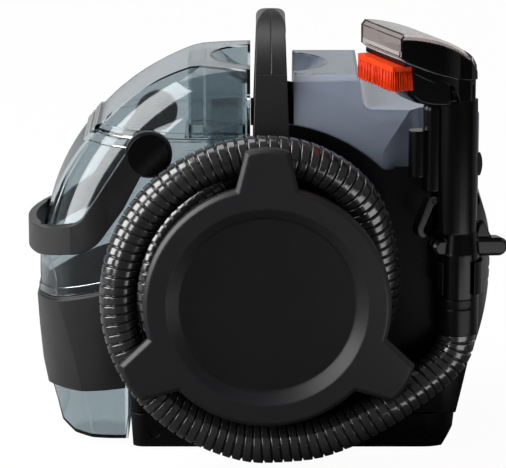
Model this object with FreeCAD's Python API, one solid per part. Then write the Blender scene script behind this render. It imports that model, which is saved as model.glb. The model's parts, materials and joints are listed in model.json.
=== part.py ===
import FreeCAD
import Part
import math
import os

# A portable spot extractor: a base with a motor and a pump, a recovery tank in front (-X), a clean-water
# tank behind (+X), a carry handle between them, and a hose wound on the near side (-Y) under a lobed cover.
# Millimetres, +Z up, origin under the middle of the whole machine, on the floor.

V = FreeCAD.Vector

# Fits
GAP = 0.3  # between pieces of different bodies
PIN_FIT = 0.08  # radial play of a pin in its hole
FIT = 0.2  # between pieces screwed or pushed together

# Middle plane and walls of the body
MID_Y = 30.0
HOUSING_HALF = 87.0
NEAR_Y = MID_Y - HOUSING_HALF
FAR_Y = MID_Y + HOUSING_HALF
SHELL = 3.0
TANK_WALL = 2.4

# Base tray and feet
FOOT_H = 1.2
FOOT_R = 9.0
FOOT_X = (-88.0, 108.0)
FOOT_INSET = 20.0
TRAY_TOP = 28.0
TRAY_FRONT = -108.0
TRAY_REAR = 139.0
TRAY_SKIRT = 3.0

# Housing: deck under the recovery tank, shelf under the clean tank, spine between them
DECK_Z = 50.0
SHELF_Z = 190.0
SPINE_X0 = -11.0
SPINE_X1 = 18.0
SPINE_TOP = 238.0
REAR_X = 164.0
REAR_KINK_Z = 85.0
REAR_FOOT_X = 150.0
REAR_ROUND = 26.0

# Rear cover
REAR_BULGE_X = 192.0
REAR_COVER_LOW = 40.0
REAR_COVER_HIGH = 205.0
REAR_COVER_HALF = 58.0
REAR_COVER_WALL = 2.5

# Carry handle
HANDLE_TOP = 338.0
HANDLE_SPLIT_Z = 297.0
HANDLE_THICK = 24.0
HANDLE_TOP_HALF = 11.5
HANDLE_X = 3.3
HANDLE_LEG_Y = HOUSING_HALF - 4.0
WEB_TOP = 274.0
WEB_INSET = 1.0
WELL_X = 4.5
WELL_R = 61.5
WELL_LOW = 277.0

# Recovery tank
TANK_X1 = -13.0
TANK_FRONT_X = -186.0
TANK_FLAT_FRONT = -164.0
TANK_LOW = 5.0
TANK_HALF = HOUSING_HALF - 7.0
TANK_TOP = 301.0
TANK_TOP_INNER = 300.5
DOME_X = 13.4
DOME_Z = 125.0
DOME_FLAT = 133.0
DOME_RIDGE = 191.0
DOME_OUTSIDE = 220.0
RIDGE_HALF = 42.0
LID_SEAM_Z = 248.0
RIM = 1.8
SEAL = 1.6
COLLAR_THICK = 2.8
COLLAR_END_X = -112.0
COLLAR_EDGE = 1.8
LEDGE = 1.2
LEDGE_GAP = 1.5
LEDGE_HIGH = 6.0
FRONT_R = 100.2
NOSE_LEAN = 5.5

# Bail on the recovery tank
HUB_X = -92.0
HUB_Z = 238.0
HUB_R = 18.4
BAIL_INNER = 2.6
BAIL_THICK = 5.8
BAIL_CORNER = 5.0
BAIL_CORNER_X = -154.0
BAIL_FRONT_X = -192.0
PIVOT_R = 6.0
PIVOT_ROOT = 6.0
BOSS_R = 8.0

# Separator tower and float
TOWER_X0 = -62.0
TOWER_X1 = -17.0
TOWER_HALF = 27.0
TOWER_FLOOR = 241.0
TOWER_WALL = 2.0
FLOAT_H = 24.0
FLOAT_TRAVEL = 18.0

# Clean tank
CLEAN_X0 = 21.0
CLEAN_X1 = 168.0
CLEAN_TOP = 295.0
CLEAN_STEP_Z = 271.0
CLEAN_STEP_X = 72.0
CLEAN_NICHE_X = 90.0
CLEAN_HALF = HOUSING_HALF - SHELL - GAP
CLEAN_TOP_HALF = 48.0
CHEEK_R = 128.0
CHEEK_Z = 228.0
CHEEK_END_X = 128.0
DOCK_X = 95.0
DOCK_R = 21.0

# Hose ring, hub and cover
RING_X = 0.0
RING_Z = 135.0
HOSE_D = 30.0
RING_R = 114.5
RING_R_DEEP = 86.5
NEAR_TURN_Y = NEAR_Y - 50.5
DEEP_TURN_Y = NEAR_Y - 19.5
HUB_DRUM_R = 70.0
HUB_DRUM_WALL = 3.0
CADDY_R = 107.0
COVER_FACE_Y = NEAR_Y - 76.0
COVER_THICK = 9.5
COVER_R = 95.0
RECESS_R = 77.5
RECESS_FLOOR_R = 68.0
RECESS_DEPTH = 8.0
LOBE_R = 124.0
LOBE_ROOT_HALF = 23.0
LOBE_TIP_HALF = 16.5
COVER_EDGE = 3.0
HOSE_SWEEP = 528.0
BEND_SHARE = 0.45
SPIRAL_FROM = 75.0

# Tool, stored upright and turned by TOOL_TURN about its own column
TOOL_X = 141.0
TOOL_Y = NEAR_Y - 23.0
TOOL_TURN = 203.0
MOUTH_L = 60.0
MOUTH_HALF = 35.3
MOUTH_SLOT = 4.0
COLUMN_L = -4.0
COLUMN_A = 18.0
COLUMN_B = 16.5
COLUMN_LOW = 183.0
COLUMN_TOP = 288.0
CUFF_L = -8.0
CUFF_R = 16.5
CUFF_LOW = 101.0
CUFF_SEAM = 130.0
COLLAR_TOP = 164.0
WINDOW_WALL = 2.0

# Screws in the tray's sides
SCREW_R = 1.8
SCREW_HEAD_R = 3.6
SCREW_HEAD_H = 2.4
SCREW_RECESS_R = 4.2
SCREW_RECESS = 3.2
SCREW_BOSS_R = 6.5
SCREW_BOSS_DEPTH = 16.0
SCREW_LENGTH = 14.0
SCREW_SLOT = 2.2
SCREW_X = (-89.0, 122.0)
SCREW_Z = 13.0

# Clean tank's cap
CAP_R = 15.0
CAP_NECK_R = 12.0
CAP_DROP = 20.0

# Suction duct and its port to the lid
DUCT_X0 = -6.0
DUCT_X1 = 13.0
DUCT_HALF = 18.0
DUCT_TOP = 266.0
PORT_R = 8.0
PORT_Z = 254.0

# Motor and fan
MOTOR_X = 80.0
MOTOR_R = 46.0
MOTOR_LOW = 62.0
MOTOR_TOP = 140.0
FAN_R = 42.0
SHAFT_R = 4.0

# Cord gland and cord hooks
GLAND_X = 128.0
GLAND_Z = 60.0
GLAND_R = 8.0
HOOK_X = 40.0
HOOK_TOP_Z = 160.0
HOOK_LOW_Z = 76.0
HOOK_POST_R = 13.0
HOOK_POST = 12.2
HOOK_PLATE = 7.0
HOOK_REACH = 26.0
HOOK_PIN_R = 5.0

# Switch and exhaust grille
SWITCH_X = 80.0
SWITCH_Z = 174.0
SWITCH_HALF = 13.0
SWITCH_HEIGHT = 9.0
GRILLE_X0 = 90.0
GRILLE_X1 = 150.0
GRILLE_Z0 = 92.0
GRILLE_Z1 = 140.0

# Nozzle's rim and brush
RIM_LINE = ((MOUTH_L, 329.5), (54.0, 324.8), (31.0, 315.3), (4.0, 306.5), (-18.0, 303.0))
THROAT_HALF = 16.0
BRUSH_L = 48.5
BRUSH_DEPTH = 16.0
BRUSH_Z = 318.0
BRUSH_STRIP = 4.0
BRUSH_HALF = 29.0
BRISTLE = 15.0
BRISTLE_R = 1.5
TUFT_ROWS = 4
TUFT_COUNT = 12

# Grip, latch, trigger and spray valve
BAR_LOW = 160.0
BAR_R = 7.2
LATCH_L = -14.0
LATCH_HALF = 6.0
LATCH_LOW = 226.0
LATCH_HIGH = 244.0
LATCH_TRAVEL = 2.5
TRIGGER_PIN_L = 15.0
TRIGGER_PIN_Z = 209.0
TRIGGER_PIN_R = 2.0
TRIGGER_HALF = 5.0
VALVE_L = 15.0
VALVE_R = 8.0


AT = {
    "xz": lambda u, v: V(u, 0, v),
    "xy": lambda u, v: V(u, v, 0),
    "yz": lambda u, v: V(0, u, v),
}
AXIS = {"x": V(1, 0, 0), "y": V(0, 1, 0), "z": V(0, 0, 1)}


def outline(plane, start, *steps):
    """A closed face. A step of two numbers is a straight line there, one of four an arc through and to."""
    place = AT[plane]
    edges = []
    here = start
    for step in steps + (start,):
        end = tuple(step[-2:])
        if len(step) == 4:
            edges.append(Part.Arc(place(*here), place(*step[:2]), place(*end)).toShape())
        elif end != tuple(here):
            edges.append(Part.LineSegment(place(*here), place(*end)).toShape())
        here = end
    return Part.Face(Part.Wire(edges))


def mirrored(points, middle):
    """An outline's upper half in reverse, mirrored about the line v = middle."""
    ends = [p[-2:] for p in points]
    back = []
    for i in range(len(points) - 1, 0, -1):
        u, v = ends[i - 1]
        if len(points[i]) == 4:
            back.append((points[i][0], 2 * middle - points[i][1], u, 2 * middle - v))
        else:
            back.append((u, 2 * middle - v))
    u, v = ends[-1]
    return [(u, 2 * middle - v)] + back


def prism(face, axis, low, high):
    """A face drawn in its plane through the origin, extruded along axis from low to high."""
    solid = face.extrude(AXIS[axis] * (high - low))
    solid.translate(AXIS[axis] * low)
    return solid


def box(x0, x1, y0, y1, z0, z1):
    return Part.makeBox(x1 - x0, y1 - y0, z1 - z0, V(x0, y0, z0))


def rod(radius, start, end):
    """A cylinder from one point to another."""
    run = end - start
    return Part.makeCylinder(radius, run.Length, start, run)


def ring(outer, inner, start, end):
    return rod(outer, start, end).cut(rod(inner, start, end))


def join(first, *others):
    return first.multiFuse(list(others)).removeSplitter()


def common(first, *others):
    for other in others:
        first = first.common(other)
    return first


def pattern(solid, places):
    """Separate copies of a solid, moved to each place."""
    copies = []
    for place in places:
        copy = solid.copy()
        copy.translate(place)
        copies.append(copy)
    return Part.makeCompound(copies)


# Base: tray, feet, housing, rear cover


def housing_side(inset=0.0):
    face = outline(
        "xz",
        (TRAY_FRONT, TRAY_TOP),
        (TRAY_FRONT, DECK_Z),
        (SPINE_X0, DECK_Z),
        (SPINE_X0, SPINE_TOP),
        (SPINE_X1, SPINE_TOP),
        (SPINE_X1, SHELF_Z),
        (REAR_X, SHELF_Z),
        (REAR_X, REAR_KINK_Z),
        (REAR_FOOT_X, TRAY_TOP),
    )
    return face.makeOffset2D(-inset, join=2) if inset else face


def block_plan(x0, x1, half, front_round, rear_round):
    """A plan with round corners, symmetric about the middle plane."""
    k = 1 - math.sqrt(0.5)
    near = MID_Y - half
    points = [
        (x0, near + front_round),
        (x0 + front_round * k, near + front_round * k, x0 + front_round, near),
        (x1 - rear_round, near),
        (x1 - rear_round * k, near + rear_round * k, x1, near + rear_round),
    ]
    return outline("xy", *(points + mirrored(points, MID_Y)))


def housing_form(inset=0.0):
    plan = block_plan(TRAY_FRONT + inset, REAR_X - inset, HOUSING_HALF - inset, 8.0, REAR_ROUND)
    side = prism(housing_side(inset), "y", NEAR_Y + inset, FAR_Y - inset)
    return side.common(prism(plan, "z", 0, SPINE_TOP))


def base_tray():
    side = outline(
        "xz",
        (TRAY_FRONT + 2, FOOT_H),
        (TRAY_REAR, FOOT_H),
        (TRAY_REAR + 9, 14),
        (REAR_FOOT_X, TRAY_TOP),
        (TRAY_FRONT, TRAY_TOP),
    )
    half = HOUSING_HALF + TRAY_SKIRT
    plan = block_plan(TRAY_FRONT, REAR_FOOT_X, half, 8.0 + TRAY_SKIRT, REAR_ROUND)
    tray = prism(side, "y", MID_Y - half, MID_Y + half).common(prism(plan, "z", 0, TRAY_TOP))
    inner = block_plan(TRAY_FRONT + SHELL, REAR_FOOT_X - 8, half - SHELL, 8.0, REAR_ROUND - SHELL)
    tray = tray.cut(prism(inner, "z", FOOT_H + SHELL, TRAY_TOP))
    for place in screw_places():
        boss = rod(SCREW_BOSS_R, place, place + place_inward(place) * SCREW_BOSS_DEPTH)
        tray = tray.fuse(boss)
    for place in screw_places():
        tray = tray.cut(rod(SCREW_RECESS_R, place, place + place_inward(place) * SCREW_RECESS))
        tray = tray.cut(rod(SCREW_R, place, place + place_inward(place) * SCREW_LENGTH))
    return tray.removeSplitter()


def screw_places():
    half = HOUSING_HALF + TRAY_SKIRT
    return [V(x, y, SCREW_Z) for x in SCREW_X for y in (MID_Y - half, MID_Y + half)]


def place_inward(place):
    return V(0, 1, 0) if place.y < MID_Y else V(0, -1, 0)


def screw(head, inward):
    """A pan-head screw with a cross recess; head is the outer face of its seat."""
    seat = head + inward * SCREW_RECESS
    top = seat - inward * SCREW_HEAD_H
    body = rod(SCREW_HEAD_R, seat, top).fuse(rod(SCREW_R - 0.02, seat, head + inward * SCREW_LENGTH))
    x, y, z = top
    for wide, tall in ((SCREW_SLOT, 0.5), (0.5, SCREW_SLOT)):
        body = body.cut(box(x - wide, x + wide, y - 0.8, y + 0.8, z - tall, z + tall))
    return body


def screws():
    return Part.makeCompound([screw(p, place_inward(p)) for p in screw_places()])


def feet():
    half = HOUSING_HALF - FOOT_INSET
    places = [V(x, y, 0) for x in FOOT_X for y in (MID_Y - half, MID_Y + half)]
    foot = Part.makeCone(FOOT_R - 1.5, FOOT_R, FOOT_H)
    return pattern(foot, places)


def housing_shells():
    shell = housing_form().cut(housing_form(SHELL))
    lip = SHELL + 3
    floor = block_plan(TRAY_FRONT + lip, REAR_FOOT_X - lip - 6, HOUSING_HALF - lip, 6.0, REAR_ROUND - lip)
    shell = shell.cut(prism(floor, "z", TRAY_TOP - 1, TRAY_TOP + SHELL + 1))
    dock = V(DOCK_X, MID_Y, SHELF_Z)
    shell = shell.cut(rod(DOCK_R + FIT, dock - V(0, 0, 2 * SHELL), dock + V(0, 0, 1)))
    duct = DUCT_HALF + FIT
    shell = shell.cut(
        box(DUCT_X0 - FIT, DUCT_X1 + FIT, MID_Y - duct, MID_Y + duct, SPINE_TOP - 2 * SHELL, SPINE_TOP + 1)
    )
    caddy = rod(CADDY_R, V(RING_X, NEAR_Y, RING_Z), V(RING_X, NEAR_Y + SHELL, RING_Z))
    caddy = caddy.common(box(-200, 200, NEAR_Y, 0, DECK_Z, 300))
    caddy = caddy.cut(box(SPINE_X1, 200, NEAR_Y - 1, 0, SHELF_Z, 300))
    near = shell.common(box(-300, 300, -300, MID_Y, 0, 400)).multiFuse([caddy, cheek(NEAR_Y)])
    far = shell.common(box(-300, 300, MID_Y, 300, 0, 400)).fuse(cheek(FAR_Y - SHELL))
    gland = V(GLAND_X, FAR_Y, GLAND_Z)
    far = far.cut(rod(GLAND_R + FIT, gland - V(0, 2 * SHELL, 0), gland + V(0, 1, 0)))
    far = far.cut(switch_hole())
    far = far.cut(grille_hole())
    return near.removeSplitter(), far.removeSplitter()


def cheek(low_y):
    """A wall beside the clean tank, whose edge runs round the hose ring and then level."""
    end = RING_Z + math.sqrt(CHEEK_R**2 - (SPINE_X1 - RING_X) ** 2)
    dip_x = RING_X + math.sqrt(CHEEK_R**2 - (CHEEK_Z - 1 - RING_Z) ** 2)
    half = math.radians(65)
    middle = (RING_X + CHEEK_R * math.cos(half), RING_Z + CHEEK_R * math.sin(half))
    face = outline(
        "xz",
        (SPINE_X1 - 1, SHELF_Z - SHELL),
        (SPINE_X1 - 1, end),
        (SPINE_X1, end),
        (*middle, dip_x, CHEEK_Z - 1),
        (dip_x + 5, CHEEK_Z - 2.5, dip_x + 10, CHEEK_Z),
        (CHEEK_END_X - 4, CHEEK_Z),
        (CHEEK_END_X - 1.2, CHEEK_Z - 1.2, CHEEK_END_X, CHEEK_Z - 4),
        (CHEEK_END_X, SHELF_Z - SHELL),
    )
    return prism(face, "y", low_y, low_y + SHELL)


def rear_cover():
    chord = (REAR_COVER_LOW + REAR_COVER_HIGH) / 2

    def form(inset):
        side = outline(
            "xz",
            (REAR_X + FIT, REAR_COVER_LOW + inset),
            (REAR_BULGE_X - inset, chord, REAR_X + FIT, REAR_COVER_HIGH - inset),
        )
        plan = outline(
            "xy",
            (REAR_X + FIT, MID_Y - REAR_COVER_HALF + inset),
            (REAR_BULGE_X + 1 - inset, MID_Y, REAR_X + FIT, MID_Y + REAR_COVER_HALF - inset),
        )
        span = prism(side, "y", MID_Y - REAR_COVER_HALF, MID_Y + REAR_COVER_HALF)
        return span.common(prism(plan, "z", REAR_COVER_LOW, REAR_COVER_HIGH))

    def tank_room(gap):
        return box(REAR_X, CLEAN_X1 + gap, NEAR_Y, FAR_Y, SHELF_Z - gap, REAR_COVER_HIGH)

    cover = form(0).cut(tank_room(GAP)).cut(form(REAR_COVER_WALL).cut(tank_room(REAR_COVER_WALL)))
    louvre_step = 9.0
    for i in range(-4, 5):
        z = chord + i * louvre_step
        cover = cover.cut(box(REAR_X, REAR_BULGE_X + 1, MID_Y - 24, MID_Y + 24, z - 1.8, z + 1.8))
    return cover


# Carry handle


def handle_form():
    legs = HANDLE_LEG_Y
    knee = SPINE_TOP + 4
    t = HANDLE_THICK
    outer = [
        (MID_Y - legs, SPINE_TOP),
        (MID_Y - legs + 1, knee),
        (MID_Y - legs * 0.71, knee + (HANDLE_TOP - knee) * 0.66, MID_Y, HANDLE_TOP),
        (MID_Y + legs * 0.71, knee + (HANDLE_TOP - knee) * 0.66, MID_Y + legs - 1, knee),
        (MID_Y + legs, SPINE_TOP),
        (MID_Y + legs - t, SPINE_TOP),
        (MID_Y + legs - t, knee),
        (MID_Y + (legs - t) * 0.71, knee + (HANDLE_TOP - t - knee) * 0.66, MID_Y, HANDLE_TOP - t),
        (MID_Y - (legs - t) * 0.71, knee + (HANDLE_TOP - t - knee) * 0.66, MID_Y - legs + t, knee),
        (MID_Y - legs + t, SPINE_TOP),
    ]
    arch = prism(outline("yz", *outer), "x", SPINE_X0 - 1, SPINE_X1 + 3)
    shoulder = HANDLE_TOP - 14
    side = outline(
        "xz",
        (SPINE_X0, SPINE_TOP),
        (HANDLE_X - HANDLE_TOP_HALF, shoulder),
        (HANDLE_X, HANDLE_TOP, HANDLE_X + HANDLE_TOP_HALF, shoulder),
        (SPINE_X1, SPINE_TOP),
    )
    return arch.common(prism(side, "y", NEAR_Y - 5, FAR_Y + 5)), side


def carry_handle():
    form, side = handle_form()
    legs = form.common(box(-50, 50, -100, 200, SPINE_TOP, HANDLE_SPLIT_Z))
    reach = HANDLE_LEG_Y - HANDLE_THICK
    web = box(SPINE_X0, SPINE_X1, MID_Y - reach - 1, MID_Y + reach + 1, SPINE_TOP, WEB_TOP)
    web = web.common(prism(side.makeOffset2D(-WEB_INSET), "y", NEAR_Y, FAR_Y))
    base = box(SPINE_X0, SPINE_X1, MID_Y - reach - 1, MID_Y + reach + 1, SPINE_TOP, SPINE_TOP + 4)
    handle = join(legs, web, base.common(prism(side, "y", NEAR_Y, FAR_Y)))
    duct = DUCT_HALF + FIT
    room = box(DUCT_X0 - FIT, DUCT_X1 + FIT, MID_Y - duct, MID_Y + duct, SPINE_TOP - 1, DUCT_TOP + FIT)
    return handle.cut(room).cut(air_port(PORT_R))


def handle_grips():
    form, _ = handle_form()
    upper = form.common(box(-50, 50, -100, 200, HANDLE_SPLIT_Z, 400))
    front = upper.common(box(-50, HANDLE_X, -100, 200, 0, 400))
    rear = upper.common(box(HANDLE_X, 50, -100, 200, 0, 400))
    return front, rear


# Recovery tank


def tank_side(inset=0.0):
    face = outline(
        "xz",
        (-153.0, TANK_LOW),
        (TANK_FLAT_FRONT, 11.0),
        (-168.5, 27.0),
        (-172.5, 38.0),
        (-177.5, 57.0),
        (-180.0, 86.0),
        (-181.0, 110.0),
        (-181.0, 125.0),
        (-175.8, 175.7, -141.4, 241.6),
        (-99.4, 280.2, -60.0, 299.6),
        (-52.0, TANK_TOP),
        (TANK_X1, TANK_TOP_INNER),
        (TANK_X1, DECK_Z + GAP),
        (TRAY_FRONT - 2, DECK_Z + GAP),
        (TRAY_FRONT - 2, TANK_LOW),
    )
    return face.makeOffset2D(-inset, join=2) if inset else face


def dome_plan(inset=0.0):
    """Half a section through the dome: flat sides, then an arc on each to a ridge beside its crown."""
    near = MID_Y - TANK_HALF
    run = DOME_RIDGE - DOME_FLAT
    drop = TANK_HALF - RIDGE_HALF
    radius = (run**2 + drop**2) / (2 * drop)
    reach = radius - inset
    ridge_turn = math.acos((reach - drop) / reach)

    def on_arc(turn):
        return (DOME_X - DOME_FLAT - reach * math.sin(turn), near + radius - reach * math.cos(turn))

    ridge = on_arc(ridge_turn)
    points = [
        (TANK_X1 - inset, near + inset),
        on_arc(0.0),
        (*on_arc(ridge_turn / 2), *ridge),
        (DOME_X - DOME_OUTSIDE, ridge[1]),
    ]
    return outline("xy", *(points + mirrored(points, MID_Y)))


def nose_form(inset=0.0):
    """The round front: an upright cylinder, and below DOME_Z one that leans back."""
    axis_x = TANK_FRONT_X + FRONT_R
    upright = rod(FRONT_R - inset, V(axis_x, MID_Y, -200), V(axis_x, MID_Y, 400))
    leaning = upright.copy()
    leaning.rotate(V(axis_x, MID_Y, DOME_Z), AXIS["y"], -NOSE_LEAN)
    rear = box(axis_x, 0, -100, 160, -10, 340)
    return upright.common(leaning).fuse(rear)


def tank_form(inset=0.0):
    side = prism(tank_side(inset), "y", MID_Y - 100, MID_Y + 100)
    plan = dome_plan(inset)
    low = prism(plan, "z", -10, DOME_Z)
    plan.translate(V(0, 0, DOME_Z))
    dome = plan.revolve(V(DOME_X, 0, DOME_Z), AXIS["y"], 90)
    return common(side, low.fuse(dome), nose_form(inset)).removeSplitter()


def above_seam(offset=0.0):
    return box(-300, 0, -100, 160, LID_SEAM_Z + offset, 340)


def well(grow=0.0):
    """The bowl for fingers under the carry handle, sunk in the tops of both tanks."""
    return Part.makeSphere(WELL_R + grow, V(WELL_X, MID_Y, WELL_LOW + WELL_R))


def tank_parts():
    outer = tank_form()
    inner = tank_form(TANK_WALL)
    shell = outer.cut(inner)
    top = above_seam()
    bucket = shell.cut(above_seam(-SEAL - GAP))
    rim_zone = above_seam(-8).cut(above_seam(-SEAL - GAP))
    rim = tank_form(-RIM).common(rim_zone).cut(tank_form(0.5))
    rim = rim.common(box(-300, TANK_X1, -100, 160, 0, 340))
    bucket = join(bucket, rim, collar_ledge())
    roof = well(TANK_WALL).common(outer).cut(well())
    lid = join(shell.common(top).cut(well()), roof.common(top))
    lip_zone = top.cut(above_seam(5))
    lip = tank_form(-RIM).common(lip_zone).cut(tank_form(0.5))
    lip = lip.common(box(-300, TANK_X1, -100, 160, 0, 340))
    lid = join(lid, lip).cut(air_port(PORT_R))
    for side in (-1, 1):
        wall = MID_Y + side * (TANK_HALF - PIVOT_ROOT)
        end = MID_Y + side * (TANK_HALF + BAIL_INNER + BAIL_THICK - 1.0)
        face = MID_Y + side * (TANK_HALF + BAIL_INNER - GAP)
        bucket = bucket.fuse(rod(PIVOT_R, V(HUB_X, wall, HUB_Z), V(HUB_X, end, HUB_Z)))
        bucket = bucket.fuse(rod(BOSS_R, V(HUB_X, wall, HUB_Z), V(HUB_X, face, HUB_Z)))
    return bucket.removeSplitter(), lid


def collar_ledge():
    """A bead round the bucket just above the collar."""
    bead = tank_form(-LEDGE).cut(tank_form(0.5))
    return bead.common(ledge_zone())


def ledge_zone():
    low = LEDGE_GAP
    high = low + LEDGE_HIGH
    face = outline(
        "xz",
        (-210.0, low + 110.0),
        (-172.0, low + 114.5),
        (COLLAR_END_X, low + 131.0),
        (COLLAR_END_X, high + 131.0),
        (-172.0, high + 114.5),
        (-210.0, high + 110.0),
    )
    return prism(face, "y", -100, 160)


def tank_collar():
    lower = ((-210.0, 30.0), (-168.0, 40.5), (COLLAR_END_X, 47.5))
    edge = COLLAR_EDGE
    sleeve = tank_form(-COLLAR_THICK - FIT)
    core = sleeve.common(prism(outline("xz", *lower, *collar_top(-edge)), "y", -100, 160))
    crown = tank_form(-COLLAR_THICK - FIT + edge)
    crown = crown.common(prism(outline("xz", *lower, *collar_top(0.0)), "y", -100, 160))
    return core.fuse(crown).cut(tank_form(-FIT)).removeSplitter()


def collar_top(lift):
    return ((COLLAR_END_X, 131.0 + lift), (-172.0, 114.5 + lift), (-210.0, 110.0 + lift))


def bail_parts():
    inner_half = TANK_HALF + BAIL_INNER
    outer_half = inner_half + BAIL_THICK

    def plan(half, front, corner_x):
        points = [
            (-60.0, MID_Y - half),
            (corner_x + 30, MID_Y - half),
            (corner_x + 12, MID_Y - half + 1.2, corner_x, MID_Y - half + BAIL_CORNER),
        ]
        nose = [(front, MID_Y, corner_x, MID_Y + half - BAIL_CORNER)]
        return outline("xy", *(points + nose + mirrored(points, MID_Y)[1:]))

    outer = prism(plan(outer_half, BAIL_FRONT_X, BAIL_CORNER_X), "z", 100, 300)
    inner = prism(plan(inner_half, BAIL_FRONT_X + 6.5, BAIL_CORNER_X + 3.5), "z", 100, 300)
    inner = inner.fuse(tank_form(-BAIL_INNER))
    side = outline(
        "xz",
        (HUB_X - HUB_R + 0.6, HUB_Z + 1),
        (-141.6, 190.3),
        (-146.5, 184.0, -154.5, 180.0),
        (-175.0, 172.0),
        (-210.0, 168.0),
        (-210.0, 146.5),
        (-182.0, 148.5),
        (-155.0, 156.5),
        (-140.0, 161.0, -128.0, 172.0),
        (-112.0, 194.4),
        (HUB_X - 4, HUB_Z - 13),
    )
    arms = outer.cut(inner).common(prism(side, "y", -100, 160))
    bail = [arms]
    for sign in (-1, 1):
        a = V(HUB_X, MID_Y + sign * inner_half, HUB_Z)
        b = V(HUB_X, MID_Y + sign * outer_half, HUB_Z)
        bail.append(rod(HUB_R, a, b))
    bail = join(*bail)
    caps = []
    for sign in (-1, 1):
        a = V(HUB_X, MID_Y + sign * (inner_half - 5), HUB_Z)
        b = V(HUB_X, MID_Y + sign * (outer_half + 5), HUB_Z)
        bail = bail.cut(rod(PIVOT_R + PIN_FIT, a, b))
        face = MID_Y + sign * outer_half
        c = V(HUB_X, face, HUB_Z)
        disc = rod(HUB_R - 2, c, c + V(0, sign * 1.8, 0))
        caps.append(disc)
    caps = Part.makeCompound(caps)
    return bail.cut(caps), caps


def tower_parts():
    y0, y1 = MID_Y - TOWER_HALF, MID_Y + TOWER_HALF
    roof = tank_form(TANK_WALL + FIT)
    outer = box(TOWER_X0, TOWER_X1, y0, y1, TOWER_FLOOR, TANK_TOP)
    w = TOWER_WALL
    inner = box(TOWER_X0 + w, TOWER_X1 - w, y0 + w, y1 - w, TOWER_FLOOR, TANK_TOP)
    wall_x = -50.0
    partition = box(wall_x, wall_x + w, y0 + w, y1 - w, TOWER_FLOOR + 6, TANK_TOP)
    tower = join(outer.cut(inner), partition).common(roof).cut(well(TANK_WALL + FIT))
    lip = 3.0
    tray = box(TOWER_X0 - lip, TOWER_X1 + 1, y0 - lip, y1 + lip, TOWER_FLOOR - 2.4, TOWER_FLOOR)
    cage = box(wall_x + w + 1, TOWER_X1 - w - 1, y0 + 6, y1 - 6, TOWER_FLOOR - 16, TOWER_FLOOR - 2.4)
    hollow = box(wall_x + w + 3, TOWER_X1 - w - 3, y0 + 8, y1 - 8, TOWER_FLOOR - 14, TOWER_FLOOR + 1)
    tray = tray.fuse(cage).cut(hollow)
    inlet = box(TOWER_X0 + w + 1, wall_x - 1, y0 + 6, y1 - 6, TOWER_FLOOR - 5, TOWER_FLOOR + 1)
    tray = tray.cut(inlet)
    float_low = TOWER_FLOOR - 14 + GAP
    block = box(
        wall_x + w + 3 + 1, TOWER_X1 - w - 3 - 1, y0 + 9, y1 - 9, float_low, float_low + FLOAT_H + 10
    )
    return tower, tray.removeSplitter(), block


def lid_gasket():
    band = tank_form(-0.1).cut(tank_form(TANK_WALL + 1.4))
    zone = above_seam(-SEAL).cut(above_seam(0.0))
    return band.common(zone)


# Clean tank


def clean_side(inset=0.0):
    face = outline(
        "xz",
        (CLEAN_X0, SHELF_Z + GAP),
        (CLEAN_X0, CLEAN_TOP),
        (CLEAN_STEP_X, CLEAN_TOP),
        (CLEAN_STEP_X + 2, CLEAN_STEP_Z + 9),
        (CLEAN_STEP_X + 4.5, CLEAN_STEP_Z + 2.5, CLEAN_STEP_X + 12, CLEAN_STEP_Z),
        (CLEAN_X1 - 14, CLEAN_STEP_Z - 1),
        (CLEAN_X1 - 4, CLEAN_STEP_Z - 4, CLEAN_X1, CLEAN_STEP_Z - 14),
        (CLEAN_X1, SHELF_Z + GAP),
    )
    return face.makeOffset2D(-inset, join=2) if inset else face


def clean_front(inset=0.0):
    near = MID_Y - CLEAN_HALF
    edge = MID_Y - CLEAN_TOP_HALF
    face = outline(
        "yz",
        (near, SHELF_Z + GAP),
        (near, 232.0),
        (near + 11, 272.0, edge, CLEAN_TOP),
        (2 * MID_Y - edge, CLEAN_TOP),
        (2 * MID_Y - near - 11, 272.0, 2 * MID_Y - near, 232.0),
        (2 * MID_Y - near, SHELF_Z + GAP),
    )
    return face.makeOffset2D(-inset, join=2) if inset else face


def clean_plan(inset=0.0):
    near = MID_Y - CLEAN_HALF
    points = [
        (CLEAN_X0, near),
        (CLEAN_NICHE_X, near),
        (CLEAN_NICHE_X + 16, near + 6, CLEAN_NICHE_X + 30, near + 21),
        (CLEAN_X1 - 18, near + 31),
        (CLEAN_X1 - 4, near + 37, CLEAN_X1, near + 51),
    ]
    face = outline("xy", *(points + mirrored(points, MID_Y)))
    return face.makeOffset2D(-inset, join=2) if inset else face


def clean_form(inset=0.0):
    side = prism(clean_side(inset), "y", NEAR_Y, FAR_Y)
    front = prism(clean_front(inset), "x", 0, 200)
    plan = prism(clean_plan(inset), "z", 100, 340)
    return common(side, front, plan)


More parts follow.
